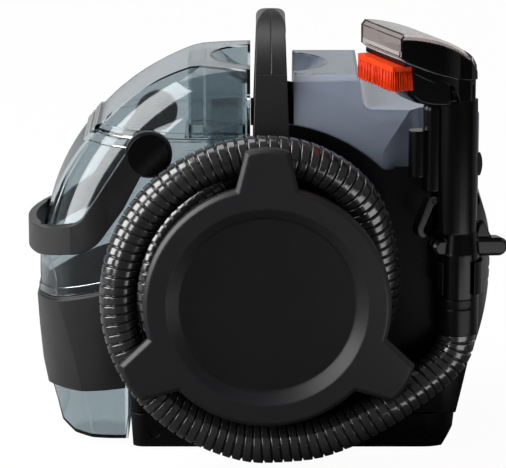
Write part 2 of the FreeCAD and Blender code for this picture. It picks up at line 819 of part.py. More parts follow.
def clean_parts():
    outer = clean_form()
    shell = outer.cut(clean_form(TANK_WALL)).cut(well())
    roof = well(TANK_WALL).common(outer).cut(well())
    tank = join(shell, roof)
    low = SHELF_Z + GAP
    neck = ring(CAP_NECK_R, CAP_NECK_R - 2, V(DOCK_X, MID_Y, low - 10), V(DOCK_X, MID_Y, low + 1))
    tank = tank.cut(rod(CAP_NECK_R - 2, V(DOCK_X, MID_Y, low - 1), V(DOCK_X, MID_Y, low + 5)))
    tank = join(tank, neck)
    bottom = low - CAP_DROP
    cap = rod(CAP_R, V(DOCK_X, MID_Y, bottom), V(DOCK_X, MID_Y, low - 1.0))
    cap = cap.cut(rod(CAP_NECK_R + PIN_FIT, V(DOCK_X, MID_Y, low - 12), V(DOCK_X, MID_Y, low)))
    for i in range(8):
        a = math.radians(45 * i)
        x, y = DOCK_X + CAP_R * math.cos(a), MID_Y + CAP_R * math.sin(a)
        cap = cap.cut(rod(1.2, V(x, y, bottom - 1), V(x, y, low)))
    stem = rod(4.0, V(DOCK_X, MID_Y, bottom - 6), V(DOCK_X, MID_Y, bottom))
    cap = cap.fuse(stem)
    gasket = ring(CAP_R - 1, CAP_NECK_R + 0.3, V(DOCK_X, MID_Y, low - 1.0), V(DOCK_X, MID_Y, low - 0.0))
    return tank, cap.removeSplitter(), gasket


def pickup_parts():
    low = SHELF_Z + GAP + TANK_WALL + FIT
    top = V(66, MID_Y - 18, CLEAN_TOP - TANK_WALL - 12)
    foot = V(54, MID_Y - 40, 236)
    tube = ring(3.0, 2.0, foot, top)
    bend = ring(3.0, 2.0, V(top.x, top.y, top.z), V(top.x, top.y, CLEAN_TOP - TANK_WALL - GAP))
    filt = rod(6.5, foot - (top - foot).normalize() * 16, foot)
    leg = rod(3.0, V(foot.x, foot.y, low + 1), foot - (top - foot).normalize() * 12)
    return tube.fuse(bend).fuse(Part.makeSphere(3.0, top)), join(filt, leg)


# Inner works


def vacuum_motor():
    low, top = MOTOR_LOW, MOTOR_TOP
    can = rod(MOTOR_R, V(MOTOR_X, MID_Y, low), V(MOTOR_X, MID_Y, low + 44))
    bell = rod(MOTOR_R - 12, V(MOTOR_X, MID_Y, low - 14), V(MOTOR_X, MID_Y, low))
    house = ring(MOTOR_R + 6, MOTOR_R + 3, V(MOTOR_X, MID_Y, low + 44), V(MOTOR_X, MID_Y, top))
    floor = rod(MOTOR_R + 6, V(MOTOR_X, MID_Y, low + 40), V(MOTOR_X, MID_Y, low + 44))
    roof = rod(MOTOR_R + 6, V(MOTOR_X, MID_Y, top), V(MOTOR_X, MID_Y, top + 3))
    roof = roof.cut(rod(16, V(MOTOR_X, MID_Y, top - 1), V(MOTOR_X, MID_Y, top + 4)))
    motor = join(can, bell, house, floor, roof)
    bore = rod(SHAFT_R + PIN_FIT, V(MOTOR_X, MID_Y, low + 20), V(MOTOR_X, MID_Y, top - 1))
    motor = motor.cut(bore)
    for i in range(6):
        a = math.radians(60 * i)
        x, y = MOTOR_X + (MOTOR_R + 5) * math.cos(a), MID_Y + (MOTOR_R + 5) * math.sin(a)
        motor = motor.cut(rod(5, V(x, y, low + 50), V(x, y, top - 6)))
    return motor


def fan():
    low = MOTOR_LOW + 44 + 4
    shaft = rod(SHAFT_R, V(MOTOR_X, MID_Y, MOTOR_LOW + 20 + GAP), V(MOTOR_X, MID_Y, low + 22))
    disc = rod(FAN_R, V(MOTOR_X, MID_Y, low), V(MOTOR_X, MID_Y, low + 2))
    crown = ring(FAN_R, 18, V(MOTOR_X, MID_Y, low + 18), V(MOTOR_X, MID_Y, low + 20))
    blades = []
    for i in range(8):
        blade = box(16, FAN_R - 1, -0.8, 0.8, low + 1, low + 19)
        blade.rotate(V(16, 0, 0), V(0, 0, 1), -35)
        blade = blade.common(rod(FAN_R, V(0, 0, low), V(0, 0, low + 20)))
        blade.rotate(V(0, 0, 0), V(0, 0, 1), 45 * i)
        blade.translate(V(MOTOR_X, MID_Y, 0))
        blades.append(blade)
    hub = rod(9, V(MOTOR_X, MID_Y, low), V(MOTOR_X, MID_Y, low + 20))
    return join(shaft, disc, crown, hub, *blades)


def motor_mount():
    outer = MOTOR_R - 12 + 8
    low = FOOT_H + SHELL
    seat = MOTOR_LOW - 14
    cup = rod(outer, V(MOTOR_X, MID_Y, low), V(MOTOR_X, MID_Y, seat + 6))
    cup = cup.cut(rod(MOTOR_R - 12 + FIT, V(MOTOR_X, MID_Y, seat), V(MOTOR_X, MID_Y, seat + 7)))
    return cup.cut(rod(outer - 8, V(MOTOR_X, MID_Y, low - 1), V(MOTOR_X, MID_Y, seat + 1)))


def water_pump():
    x0, y0, low = -84.0, MID_Y - 20, FOOT_H + SHELL
    body = box(x0, x0 + 34, y0, y0 + 30, low, low + 28)
    can = rod(11, V(x0 + 34, y0 + 15, low + 14), V(x0 + 66, y0 + 15, low + 14))
    port = rod(4, V(x0 + 8, y0 + 30, low + 14), V(x0 + 8, y0 + 38, low + 14))
    return join(body, can, port)


def suction_duct():
    h = DUCT_HALF
    y0, y1 = MID_Y - h, MID_Y + h
    outer = box(DUCT_X0, DUCT_X1, y0, y1, 150, DUCT_TOP)
    inner = box(DUCT_X0 + 2, DUCT_X1 - 2, y0 + 2, y1 - 2, 152, DUCT_TOP - 2)
    elbow = box(DUCT_X0, MOTOR_X + 20, y0, y1, MOTOR_TOP + 3, 157)
    hollow = box(DUCT_X0 + 2, MOTOR_X + 18, y0 + 2, y1 - 2, MOTOR_TOP + 5, 155)
    duct = outer.fuse(elbow).cut(inner.fuse(hollow))
    duct = duct.cut(rod(16, V(MOTOR_X, MID_Y, MOTOR_TOP), V(MOTOR_X, MID_Y, MOTOR_TOP + 6)))
    return duct.cut(air_port(PORT_R)).removeSplitter()


def air_port(radius):
    """The way for air from the lid through the handle's web into the duct."""
    return rod(radius, V(TANK_X1 - TANK_WALL - 1, MID_Y, PORT_Z), V(DUCT_X0 + 2.5, MID_Y, PORT_Z))


def duct_seal():
    """A rubber ring round the air port, between the handle's web and the lid."""
    a = V(TANK_X1 + GAP, MID_Y, PORT_Z)
    b = V(SPINE_X0 + 1.2, MID_Y, PORT_Z)
    seal = ring(PORT_R + 3, PORT_R, a, b)
    _, side = handle_form()
    return seal.cut(prism(side.makeOffset2D(-WEB_INSET), "y", NEAR_Y, FAR_Y))


def clean_dock():
    low = SHELF_Z - CAP_DROP - 10
    outer = rod(DOCK_R, V(DOCK_X, MID_Y, low), V(DOCK_X, MID_Y, SHELF_Z))
    inner = rod(CAP_R + 1.5, V(DOCK_X, MID_Y, low + 6), V(DOCK_X, MID_Y, SHELF_Z + 1))
    port = rod(5.0, V(DOCK_X, MID_Y, low - 1), V(DOCK_X, MID_Y, low + 7))
    under = SHELF_Z - SHELL
    flange = ring(DOCK_R + 4, DOCK_R - 1, V(DOCK_X, MID_Y, under - 2), V(DOCK_X, MID_Y, under))
    return join(outer.cut(inner).cut(port), flange)


# Far side: cord gland, cord hooks, switch, exhaust grille


def cord_gland():
    flange = rod(GLAND_R + 4, V(GLAND_X, FAR_Y, GLAND_Z), V(GLAND_X, FAR_Y + 2.5, GLAND_Z))
    body = rod(GLAND_R, V(GLAND_X, FAR_Y - 8, GLAND_Z), V(GLAND_X, FAR_Y, GLAND_Z))
    nose = Part.makeCone(GLAND_R, GLAND_R - 3, 8, V(GLAND_X, FAR_Y + 2.5, GLAND_Z), V(0, 1, 0))
    gland = join(flange, body, nose)
    return gland.cut(rod(3.6, V(GLAND_X, FAR_Y - 9, GLAND_Z), V(GLAND_X, FAR_Y + 12, GLAND_Z)))


def hook_plate(z, up):
    """A cord hook's plate: a round boss with a tongue that points away from the other hook."""
    y0 = FAR_Y + HOOK_POST
    boss = rod(HOOK_POST_R, V(HOOK_X, FAR_Y + GAP, z), V(HOOK_X, y0, z))
    face = outline(
        "xz",
        (HOOK_X - HOOK_POST_R - 5, z - up * 6),
        (HOOK_X - HOOK_POST_R - 5, z + up * (HOOK_REACH - 12)),
        (HOOK_X, z + up * (HOOK_REACH + 6), HOOK_X + HOOK_POST_R + 5, z + up * (HOOK_REACH - 12)),
        (HOOK_X + HOOK_POST_R + 5, z - up * 6),
        (HOOK_X, z - up * (HOOK_POST_R + 6), HOOK_X - HOOK_POST_R - 5, z - up * 6),
    )
    return join(boss, prism(face, "y", y0, y0 + HOOK_PLATE))


def cord_hooks():
    fixed = hook_plate(HOOK_LOW_Z, -1)
    root = rod(HOOK_POST_R, V(HOOK_X, FAR_Y, HOOK_LOW_Z), V(HOOK_X, FAR_Y + 1, HOOK_LOW_Z))
    fixed = join(fixed, root)
    swivel = hook_plate(HOOK_TOP_Z, 1)
    end = FAR_Y + HOOK_POST + HOOK_PLATE + 1
    bore = rod(HOOK_PIN_R + PIN_FIT, V(HOOK_X, FAR_Y, HOOK_TOP_Z), V(HOOK_X, end, HOOK_TOP_Z))
    swivel = swivel.cut(bore)
    pin = rod(HOOK_PIN_R, V(HOOK_X, FAR_Y, HOOK_TOP_Z), V(HOOK_X, end - 1, HOOK_TOP_Z))
    return fixed, swivel, pin


def switch_hole():
    return box(
        SWITCH_X - SWITCH_HALF - FIT,
        SWITCH_X + SWITCH_HALF + FIT,
        FAR_Y - 2 * SHELL,
        FAR_Y + 1,
        SWITCH_Z - SWITCH_HEIGHT - FIT,
        SWITCH_Z + SWITCH_HEIGHT + FIT,
    )


def power_switch():
    """A bezel and the rocker that tips in it about an upright line."""
    bezel = box(
        SWITCH_X - SWITCH_HALF - 2,
        SWITCH_X + SWITCH_HALF + 2,
        FAR_Y,
        FAR_Y + 2,
        SWITCH_Z - SWITCH_HEIGHT - 2,
        SWITCH_Z + SWITCH_HEIGHT + 2,
    )
    sleeve = box(
        SWITCH_X - SWITCH_HALF, SWITCH_X + SWITCH_HALF, FAR_Y - 14, FAR_Y,
        SWITCH_Z - SWITCH_HEIGHT, SWITCH_Z + SWITCH_HEIGHT,
    )
    well_box = box(
        SWITCH_X - SWITCH_HALF + 2,
        SWITCH_X + SWITCH_HALF - 2,
        FAR_Y - 9,
        FAR_Y + 3,
        SWITCH_Z - SWITCH_HEIGHT + 2,
        SWITCH_Z + SWITCH_HEIGHT - 2,
    )
    bezel = join(bezel, sleeve).cut(well_box)
    half = SWITCH_HALF - 2 - 1.2
    face = outline(
        "xy",
        (SWITCH_X - half, FAR_Y - 3),
        (SWITCH_X - half, FAR_Y + 4.2),
        (SWITCH_X, FAR_Y + 1.4),
        (SWITCH_X + half, FAR_Y + 0.9),
        (SWITCH_X + half, FAR_Y - 3),
        (SWITCH_X, FAR_Y - 7),
    )
    rocker = prism(face, "z", SWITCH_Z - SWITCH_HEIGHT + 2 + GAP, SWITCH_Z + SWITCH_HEIGHT - 2 - GAP)
    return bezel, rocker


def grille_hole():
    return box(GRILLE_X0, GRILLE_X1, FAR_Y - 2 * SHELL, FAR_Y + 1, GRILLE_Z0, GRILLE_Z1)


def exhaust_grille():
    frame = box(GRILLE_X0 + FIT, GRILLE_X1 - FIT, FAR_Y - SHELL, FAR_Y + 1, GRILLE_Z0 + FIT, GRILLE_Z1 - FIT)
    count = 7
    pitch = (GRILLE_Z1 - GRILLE_Z0 - 6) / count
    for i in range(count):
        z = GRILLE_Z0 + 3 + (i + 0.5) * pitch
        frame = frame.cut(box(GRILLE_X0 + 4, GRILLE_X1 - 4, FAR_Y - SHELL - 1, FAR_Y + 2, z - 1.7, z + 1.7))
    return frame


# Hose side: hub, cover, hose


def hose_hub():
    a = V(RING_X, NEAR_Y, RING_Z)
    b = V(RING_X, COVER_FACE_Y + COVER_THICK, RING_Z)
    drum = ring(HUB_DRUM_R, HUB_DRUM_R - HUB_DRUM_WALL, a, b)
    back = rod(HUB_DRUM_R, a, a - V(0, HUB_DRUM_WALL, 0))
    return join(drum, back)


def hose_cover():
    y0, y1 = COVER_FACE_Y, COVER_FACE_Y + COVER_THICK
    c = V(RING_X, 0, RING_Z)
    plate = rod(COVER_R, c + V(0, y0, 0), c + V(0, y1, 0))
    lobes = []
    for angle in (90, 210, 330):
        face = outline(
            "xz",
            (-LOBE_ROOT_HALF - 6, COVER_R - 22),
            (-LOBE_ROOT_HALF, COVER_R),
            (-LOBE_TIP_HALF, LOBE_R - 3),
            (0, LOBE_R, LOBE_TIP_HALF, LOBE_R - 3),
            (LOBE_ROOT_HALF, COVER_R),
            (LOBE_ROOT_HALF + 6, COVER_R - 22),
        )
        lobe = prism(face, "y", y0, y1)
        lobe.rotate(V(0, 0, 0), V(0, 1, 0), 90 - angle)
        lobe.translate(c)
        lobes.append(lobe)
    body = join(plate, *lobes)

    def front_edge(edge):
        box_ = edge.BoundBox
        return box_.YMax < y0 + 0.01

    body = body.makeChamfer(COVER_EDGE, [e for e in body.Edges if front_edge(e)])
    recess = Part.makeCone(RECESS_R, RECESS_FLOOR_R, RECESS_DEPTH, c + V(0, y0, 0), V(0, 1, 0))
    return body.cut(recess)


def hose_points():
    """The hose's route: from the tool's cuff down to the ring, once round it, and deeper to the port."""
    cuff = tool_point(CUFF_L, 0, CUFF_LOW - FIT)
    points = [
        cuff,
        V(cuff.x, cuff.y, CUFF_LOW - 6),
        V(146.5, NEAR_Y - 20.7, 88.0),
        V(142.8, NEAR_Y - 22.4, 81.5),
        V(137.2, NEAR_Y - 25.0, 75.3),
        V(130.5, NEAR_Y - 28.4, 69.8),
        V(122.5, NEAR_Y - 32.3, 64.6),
        V(110, NEAR_Y - 38.5, 56.5),
        V(88, NEAR_Y - 46.0, 43),
        V(45, NEAR_TURN_Y, 22.5),
        V(14, NEAR_TURN_Y, 18.8),
    ]
    step = 30.0
    angle = 270.0 - 10.0
    while angle > 270.0 - HOSE_SWEEP:
        share = min(max((SPIRAL_FROM - angle) / SPIRAL_FROM, 0.0), 1.0)
        share = share * share * (3 - 2 * share)
        y = NEAR_TURN_Y + (DEEP_TURN_Y - NEAR_TURN_Y) * share
        r = RING_R + (RING_R_DEEP - RING_R) * share
        a = math.radians(angle)
        r = r / math.cos(math.radians(step / 2))
        points.append(V(RING_X + r * math.cos(a), y, RING_Z + r * math.sin(a)))
        angle -= step
    return points


def tube(points, radius):
    """A tube along straight runs joined by tangent arcs, and its length."""
    first = points[1] - points[0]
    face = Part.Face(Part.Wire([Part.makeCircle(radius, points[0], first)]))
    runs = []
    length = 0.0
    here = points[0]
    for a, b, c in zip(points, points[1:], points[2:]):
        into, out = (b - a).normalize(), (c - b).normalize()
        turn = math.acos(max(-1.0, min(1.0, into.dot(out))))
        back = BEND_SHARE * min((b - a).Length, (c - b).Length)
        bend = back / math.tan(turn / 2)
        centre = b + (out - into).normalize() * (bend / math.cos(turn / 2))
        straight = (b - into * back) - here
        runs.append(face.extrude(straight))
        face = face.copy()
        face.translate(straight)
        axis = into.cross(out).normalize()
        runs.append(face.revolve(centre, axis, math.degrees(turn)))
        face = face.copy()
        face.rotate(centre, axis, math.degrees(turn))
        length += straight.Length + bend * turn
        here = b + out * back
    runs.append(face.extrude(points[-1] - here))
    length += (points[-1] - here).Length
    return runs[0].multiFuse(runs[1:]).removeSplitter(), length


def hose():
    solid, length = tube(hose_points(), HOSE_D / 2)
    share = solid.Volume / (length * math.pi * (HOSE_D / 2) ** 2)
    print(f"hose length {length:.0f} mm, volume share {share:.4f}")
    return solid


def hose_port():
    """The elbow on the near wall that the hose's inner end goes into."""
    last, before = hose_points()[-1], hose_points()[-2]
    run = (last - before).normalize()
    r = HOSE_D / 2
    start = last + run * FIT
    turn = last + run * 18
    port = rod(r, start, turn)
    inward = rod(r, V(turn.x, NEAR_Y, turn.z), turn)
    port = join(port, inward, Part.makeSphere(r, turn))
    return port.common(box(-300, 300, -300, NEAR_Y, 0, 400))


# Tool: nozzle, brush, grip, trigger, cuff


def tool_point(forward, side, z):
    a = math.radians(TOOL_TURN)
    x = TOOL_X + forward * math.cos(a) - side * math.sin(a)
    y = TOOL_Y + forward * math.sin(a) + side * math.cos(a)
    return V(x, y, z)


def placed(shape):
    """A piece drawn with the tool facing +X, turned and moved to where it is stored."""
    shape = shape.copy()
    shape.rotate(V(0, 0, 0), V(0, 0, 1), TOOL_TURN)
    shape.translate(V(TOOL_X, TOOL_Y, 0))
    return shape


def fan_plan(inset=0.0):
    h = MOUTH_HALF
    face = outline(
        "xy",
        (MOUTH_L, -h),
        (MOUTH_L, h),
        (30.0, h - 3, 4.0, 22.0),
        (-8.0, 18.5),
        (-14.5, 14.0),
        (-19.0, 0, -14.5, -14.0),
        (-8.0, -18.5),
        (4.0, -22.0),
        (30.0, -h + 3, MOUTH_L, -h),
    )
    return face.makeOffset2D(-inset, join=2) if inset else face


def window_form(inset=0.0):
    (x0, z0), (x1, z1), (x2, z2), (x3, z3), (x4, z4) = RIM_LINE
    face = outline(
        "xz",
        (x0, z0),
        (MOUTH_L, 343.6),
        (MOUTH_L - 3, 347.2),
        (27.0, 341.0, 0.0, 328.4),
        (-12.5, 318.0, x4, z4 + 2),
        (x4, z4),
        (x3, z3),
        (x2, z2),
        (x1, z1),
    )
    if inset:
        face = face.makeOffset2D(-inset, join=2)
    return prism(face, "y", -60, 60).common(prism(fan_plan(inset), "z", 250, 360))


def nozzle_window():
    shell = window_form().cut(window_form(WINDOW_WALL))
    (x0, z0), (x1, z1), (x2, z2), (x3, z3), (x4, z4) = RIM_LINE
    lift = WINDOW_WALL + 0.4
    floor = outline(
        "xz",
        (x0 - 3, z0 - 8),
        (x0 - 3, z0 + 0.2),
        (x1, z1 + lift),
        (x2, z2 + lift),
        (x3, z3 + lift),
        (x4 + 3, z4 + lift),
        (x4 + 3, z4 - 12),
    )
    plan = fan_plan(WINDOW_WALL)
    opening = prism(floor, "y", -60, 60).common(prism(plan, "z", 250, 360))
    slot_half = MOUTH_HALF - WINDOW_WALL - 1
    slot = box(x0 - 4, x0 + 1, -slot_half, slot_half, z0 - 1, z0 + MOUTH_SLOT)
    return shell.cut(opening).cut(slot)


def nozzle_body():
    (x0, z0), (x1, z1), (x2, z2), (x3, z3), (x4, z4) = RIM_LINE
    wide = outline(
        "xz",
        (x1 + 2, BRUSH_Z + BRUSH_STRIP),
        (x1 + 2, z1 - FIT + 1.2),
        (x1, z1 - FIT),
        (x2, z2 - FIT),
        (x3, z3 - FIT),
        (x4 + 1, z4 - FIT),
        (x4 + 1, COLUMN_TOP),
        (3.0, COLUMN_TOP),
        (12.0, 303.0, 30.0, 307.0),
        (BRUSH_L - 0.5, BRUSH_Z - 2),
        (BRUSH_L - 0.5, BRUSH_Z + BRUSH_STRIP),
    )
    wide = prism(wide, "y", -60, 60).common(prism(fan_plan(0.6), "z", 250, 360))
    throat = outline(
        "xz",
        (x4 + 6, z4 - 3),
        (x4 + 6, COLUMN_TOP),
        (14.0, COLUMN_TOP),
        (24.0, 292.5),
        (38.0, 294.5),
        (44.0, 297.5, BRUSH_L - 1, 305.0),
        (BRUSH_L - 1, BRUSH_Z),
        (24.0, 309.0),
    )
    throat = prism(throat, "y", -THROAT_HALF, THROAT_HALF)
    return join(wide, throat)


def brush_parts():
    """The strip under the mouth that holds the bristles, and the tufts, which point down."""
    end = BRUSH_HALF + 2
    strip = box(BRUSH_L, BRUSH_L + BRUSH_DEPTH, -end, end, BRUSH_Z, BRUSH_Z + BRUSH_STRIP)
    tufts = []
    margin = 2.0
    row_step = (BRUSH_DEPTH - 2 * margin) / (TUFT_ROWS - 1)
    side_step = 2 * BRUSH_HALF / (TUFT_COUNT - 1)
    for row in range(TUFT_ROWS):
        for i in range(TUFT_COUNT):
            x = BRUSH_L + margin + row * row_step
            y = -BRUSH_HALF + i * side_step
            corners = []
            for k in range(7):
                a = math.radians(60 * k)
                corners.append(V(x + BRISTLE_R * math.cos(a), y + BRISTLE_R * math.sin(a), BRUSH_Z))
            tuft = Part.Face(Part.makePolygon(corners)).extrude(V(0, 0, -BRISTLE))
            tufts.append(tuft)
    return placed(strip), placed(Part.makeCompound(tufts))


def grip_parts():
    column = prism(column_plan(), "z", COLUMN_LOW, COLUMN_TOP - FIT)
    back = outline(
        "xz",
        (40.0, COLUMN_LOW),
        (40.0, COLUMN_TOP),
        (COLUMN_L - COLUMN_A + 4.2, COLUMN_TOP),
        (COLUMN_L - COLUMN_A + 0.4, COLUMN_LOW),
    )
    column = column.common(prism(back, "y", -40, 40))
    side = LATCH_HALF + GAP
    reach = LATCH_L + LATCH_TRAVEL + GAP
    column = column.cut(box(-40, reach, -side, side, LATCH_LOW - GAP, LATCH_HIGH + GAP))
    bar = outline(
        "xz",
        (9.0, BAR_LOW + 4.1),
        (9.0 + BAR_R, BAR_LOW + 4.1 + BAR_R, 9.0, BAR_LOW + 4.1 + 2 * BAR_R),
        (-41.5, BAR_LOW + 2 * BAR_R),
        (-41.5 - BAR_R, BAR_LOW + BAR_R, -41.5, BAR_LOW),
    )
    bar = prism(bar, "y", -BAR_R, BAR_R)
    long_edges = [e for e in bar.Edges if e.Length > 30 and abs(e.Vertexes[0].Y) > BAR_R - 1]
    bar = bar.makeChamfer(2.4, long_edges)
    top = BAR_LOW + 2 * BAR_R
    fin = prism(outline("xz", (-22.0, top), (-25.0, 185.0), (-28.5, 188.5), (-36.0, top)), "y", -3.0, 3.0)
    collar = rod(CUFF_R, V(CUFF_L, 0, CUFF_SEAM + FIT), V(CUFF_L, 0, COLLAR_TOP + 2))
    skirt = Part.makeCone(CUFF_R, COLUMN_B - 2, 20, V(CUFF_L, 0, COLLAR_TOP), V(0, 0, 1))
    whole = join(column, bar, fin, collar, skirt)
    whole = whole.cut(rod(CUFF_R - 4, V(CUFF_L, 0, CUFF_SEAM - 1), V(CUFF_L, 0, COLLAR_TOP)))
    whole = whole.cut(trigger_slot())
    left = whole.common(box(-100, 100, -50, -FIT / 4, 0, 400))
    right = whole.common(box(-100, 100, FIT / 4, 50, 0, 400))
    return placed(left), placed(right)


def column_plan(grow=0.0):
    a, b = COLUMN_A + grow, COLUMN_B + grow
    return outline(
        "xy",
        (COLUMN_L, -b),
        (COLUMN_L + a, 0, COLUMN_L, b),
        (COLUMN_L - a, 0, COLUMN_L, -b),
    )


def trigger_slot():
    """Room in the grip's front for the trigger's root."""
    h = TRIGGER_HALF + GAP
    return box(6.0, 30.0, -h, h, 184.5, 216.0)


def trigger_parts():
    h = TRIGGER_HALF
    face = outline(
        "xz",
        (TRIGGER_PIN_L - 3, TRIGGER_PIN_Z - 2),
        (TRIGGER_PIN_L, TRIGGER_PIN_Z + 4, TRIGGER_PIN_L + 4, TRIGGER_PIN_Z + 3),
        (29.0, 188.5),
        (28.5, 184.0, 24.0, 180.6),
        (20.5, 182.0),
        (24.0, 185.5, 23.2, 189.5),
        (TRIGGER_PIN_L + 1, TRIGGER_PIN_Z - 4),
    )
    lever = prism(face, "y", -h, h)
    pin_at = V(TRIGGER_PIN_L, 0, TRIGGER_PIN_Z)
    across = V(0, h + GAP, 0)
    lever = lever.cut(rod(TRIGGER_PIN_R + PIN_FIT, pin_at - across, pin_at + across))
    pin = rod(TRIGGER_PIN_R, pin_at - across, pin_at + across)
    return placed(lever), placed(pin)


def spray_parts():
    low, top = 217.0, 288.0
    tube_ = rod(VALVE_R, V(VALVE_L, 0, low), V(VALVE_L, 0, top - VALVE_R))
    dome = Part.makeSphere(VALVE_R, V(VALVE_L, 0, top - VALVE_R))
    whole = tube_.fuse(dome)
    block = rod(7.0, V(28.0, 0, 229), V(28.0, 0, 265))
    bridge = box(VALVE_L, 28.0, -4, 4, 250, 262)
    whole = join(whole, block, bridge)
    return placed(whole.cut(prism(column_plan(FIT), "z", COLUMN_LOW, COLUMN_TOP)))


def latch_button():
    h = LATCH_HALF
    face = outline(
        "xz",
        (LATCH_L, LATCH_LOW),
        (-COLUMN_A + COLUMN_L - 1, LATCH_LOW),
        (-COLUMN_A + COLUMN_L - 3, (LATCH_LOW + LATCH_HIGH) / 2, -COLUMN_A + COLUMN_L - 1, LATCH_HIGH),
        (LATCH_L, LATCH_HIGH),
    )
    body = prism(face, "y", -h, h)
    return placed(body)


def hose_cuff():
    body = rod(CUFF_R, V(CUFF_L, 0, CUFF_LOW), V(CUFF_L, 0, CUFF_SEAM))
    body = body.cut(rod(CUFF_R - 4, V(CUFF_L, 0, CUFF_LOW + 4), V(CUFF_L, 0, CUFF_SEAM + 1)))
    groove = ring(CUFF_R + 1, CUFF_R - 1, V(CUFF_L, 0, CUFF_SEAM - 8), V(CUFF_L, 0, CUFF_SEAM - 6.5))
    return placed(body.cut(groove))


def tool_holster():
    """A C-shaped clip on the near wall that the tool's collar stands in."""
    c = tool_point(CUFF_L, 0, 0)
    low, high = 134.0, BAR_LOW - GAP
    inner = CUFF_R + GAP
    clip = ring(inner + 2.6, inner, V(c.x, c.y, low), V(c.x, c.y, high))
    opening = box(c.x - 12, c.x + 12, c.y - 2 * CUFF_R, c.y, low - 1, high + 1)
    clip = clip.cut(opening)
    plate = box(c.x - 14, c.x + 10, c.y + inner, NEAR_Y, low, high)
    plate = plate.cut(rod(inner, V(c.x, c.y, low - 1), V(c.x, c.y, high + 1)))
    return join(clip, plate)


def build():
    near, far = housing_shells()
    grip_front, grip_rear = handle_grips()
    bucket, lid = tank_parts()
    bail, caps = bail_parts()
    tower, cage, float_ = tower_parts()
    tank, cap, cap_gasket = clean_parts()
    pickup, filt = pickup_parts()
    hook_fixed, hook_swivel, hook_pin = cord_hooks()
    bezel, rocker = power_switch()
    brush, bristles = brush_parts()
    grip_left, grip_right = grip_parts()
    trigger, trigger_pin = trigger_parts()
    return {
        "base_tray": base_tray(),
        "feet": feet(),
        "tray_screws": screws(),
        "housing_near": near,
        "housing_far": far,
        "rear_cover": rear_cover(),
        "carry_handle": carry_handle(),
        "handle_grip_front": grip_front,
        "handle_grip_rear": grip_rear,
        "hose_hub": hose_hub(),
        "hose_cover": hose_cover(),
        "hose_port": hose_port(),
        "hose": hose(),
        "vacuum_motor": vacuum_motor(),
        "motor_mount": motor_mount(),
        "fan": fan(),
        "water_pump": water_pump(),
        "suction_duct": suction_duct(),
        "duct_seal": duct_seal(),
        "clean_dock": clean_dock(),
        "cord_gland": cord_gland(),
        "cord_hook_fixed": hook_fixed,
        "cord_hook_swivel": hook_swivel,
        "cord_hook_pin": hook_pin,
        "switch_bezel": bezel,
        "switch_rocker": rocker,
        "exhaust_grille": exhaust_grille(),
        "tool_holster": tool_holster(),
        "recovery_bucket": bucket,
        "tank_collar": tank_collar(),
        "recovery_lid": lid,
        "lid_gasket": lid_gasket(),
        "separator_tower": tower,
        "float_cage": cage,
        "float": float_,
        "bail": bail,
        "bail_caps": caps,
        "clean_tank": tank,
        "clean_cap": cap,
        "cap_gasket": cap_gasket,
        "pickup_tube": pickup,
        "pickup_filter": filt,
        "nozzle_window": placed(nozzle_window()),
        "nozzle_body": placed(nozzle_body()),
        "brush_base": brush,
        "bristles": bristles,
        "grip_left": grip_left,
        "grip_right": grip_right,
        "trigger": trigger,
        "trigger_pin": trigger_pin,
        "spray_valve": spray_parts(),
        "latch_button": latch_button(),
        "hose_cuff": hose_cuff(),
    }


os.makedirs("parts", exist_ok=True)
for name, shape in build().items():
    shape.exportStep(f"parts/{name}.step")
    b = shape.BoundBox
    print(f"{name}: {len(shape.Solids)} solids, valid {shape.isValid()}, {shape.Volume / 1000:.1f} cm3,")
    print(f"  x {b.XMin:.1f} {b.XMax:.1f} y {b.YMin:.1f} {b.YMax:.1f} z {b.ZMin:.1f} {b.ZMax:.1f}")
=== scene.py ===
import json
import math
import random

import bmesh
import bpy
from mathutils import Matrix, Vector


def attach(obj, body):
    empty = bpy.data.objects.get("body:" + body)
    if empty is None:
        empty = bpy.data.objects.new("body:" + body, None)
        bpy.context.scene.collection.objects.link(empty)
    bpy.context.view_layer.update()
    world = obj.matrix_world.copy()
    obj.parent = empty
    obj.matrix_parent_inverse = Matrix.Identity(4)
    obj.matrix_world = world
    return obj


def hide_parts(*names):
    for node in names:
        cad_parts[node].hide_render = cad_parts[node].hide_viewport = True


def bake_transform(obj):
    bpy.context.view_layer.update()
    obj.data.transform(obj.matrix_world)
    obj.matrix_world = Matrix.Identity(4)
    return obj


# A portable spot extractor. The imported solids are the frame; this script gives them their materials, and
# makes the pieces that need more than a plain solid. Metres, +Z up, the camera looks along +Y.

# Camera: its place, the point it faces, its lens in millimetres, and how far it sees
CAMERA_AT = (-0.0108, -2.5228, 0.7892)
CAMERA_AIM = (-0.0108, 0.0, 0.1602)
CAMERA_LENS = 231.2
CAMERA_REACH = 20

# Stage: the sky's light, the floor's greys, and the stretch beyond which gloss sees the floor brighter
SKY = 0.16
SKY_TINT = (0.95, 0.97, 1.0)
FLOOR_HALF = 6.0
FLOOR_ROUGHNESS = 0.8
FLOOR_WHITE = 0.965
FLOOR_BRIGHT = 1.0
FLOOR_DARK = 0.08
SWEEP_Y = (-0.1, 0.1)
SWEEP_SHARE = 0.35

# Softboxes: where each one is, the point it faces, its width and height, and its power in watts
LAMPS = {
    "key": ((-1.62, -0.25, 1.12), (0, 0, 0.2), (1.05, 2.0), 55),
    "fill": ((-1.25, -1.6, 0.75), (0, 0, 0.15), (0.5, 1.2), 15),
    "top": ((-0.35, 0.3, 1.9), (0, 0, 0.2), (1.1, 0.9), 9),
    "backdrop": ((0, 2.2, 0.95), (0, 0, 0.95), (4.4, 1.85), 12),
    "rim": ((1.6, 0.4, 0.8), (0, 0, 0.2), (0.2, 1.3), 1.5),
    "card": ((0.46, -0.42, 0.01), (0.46, -0.42, 1.0), (0.55, 0.4), 1.9),
}

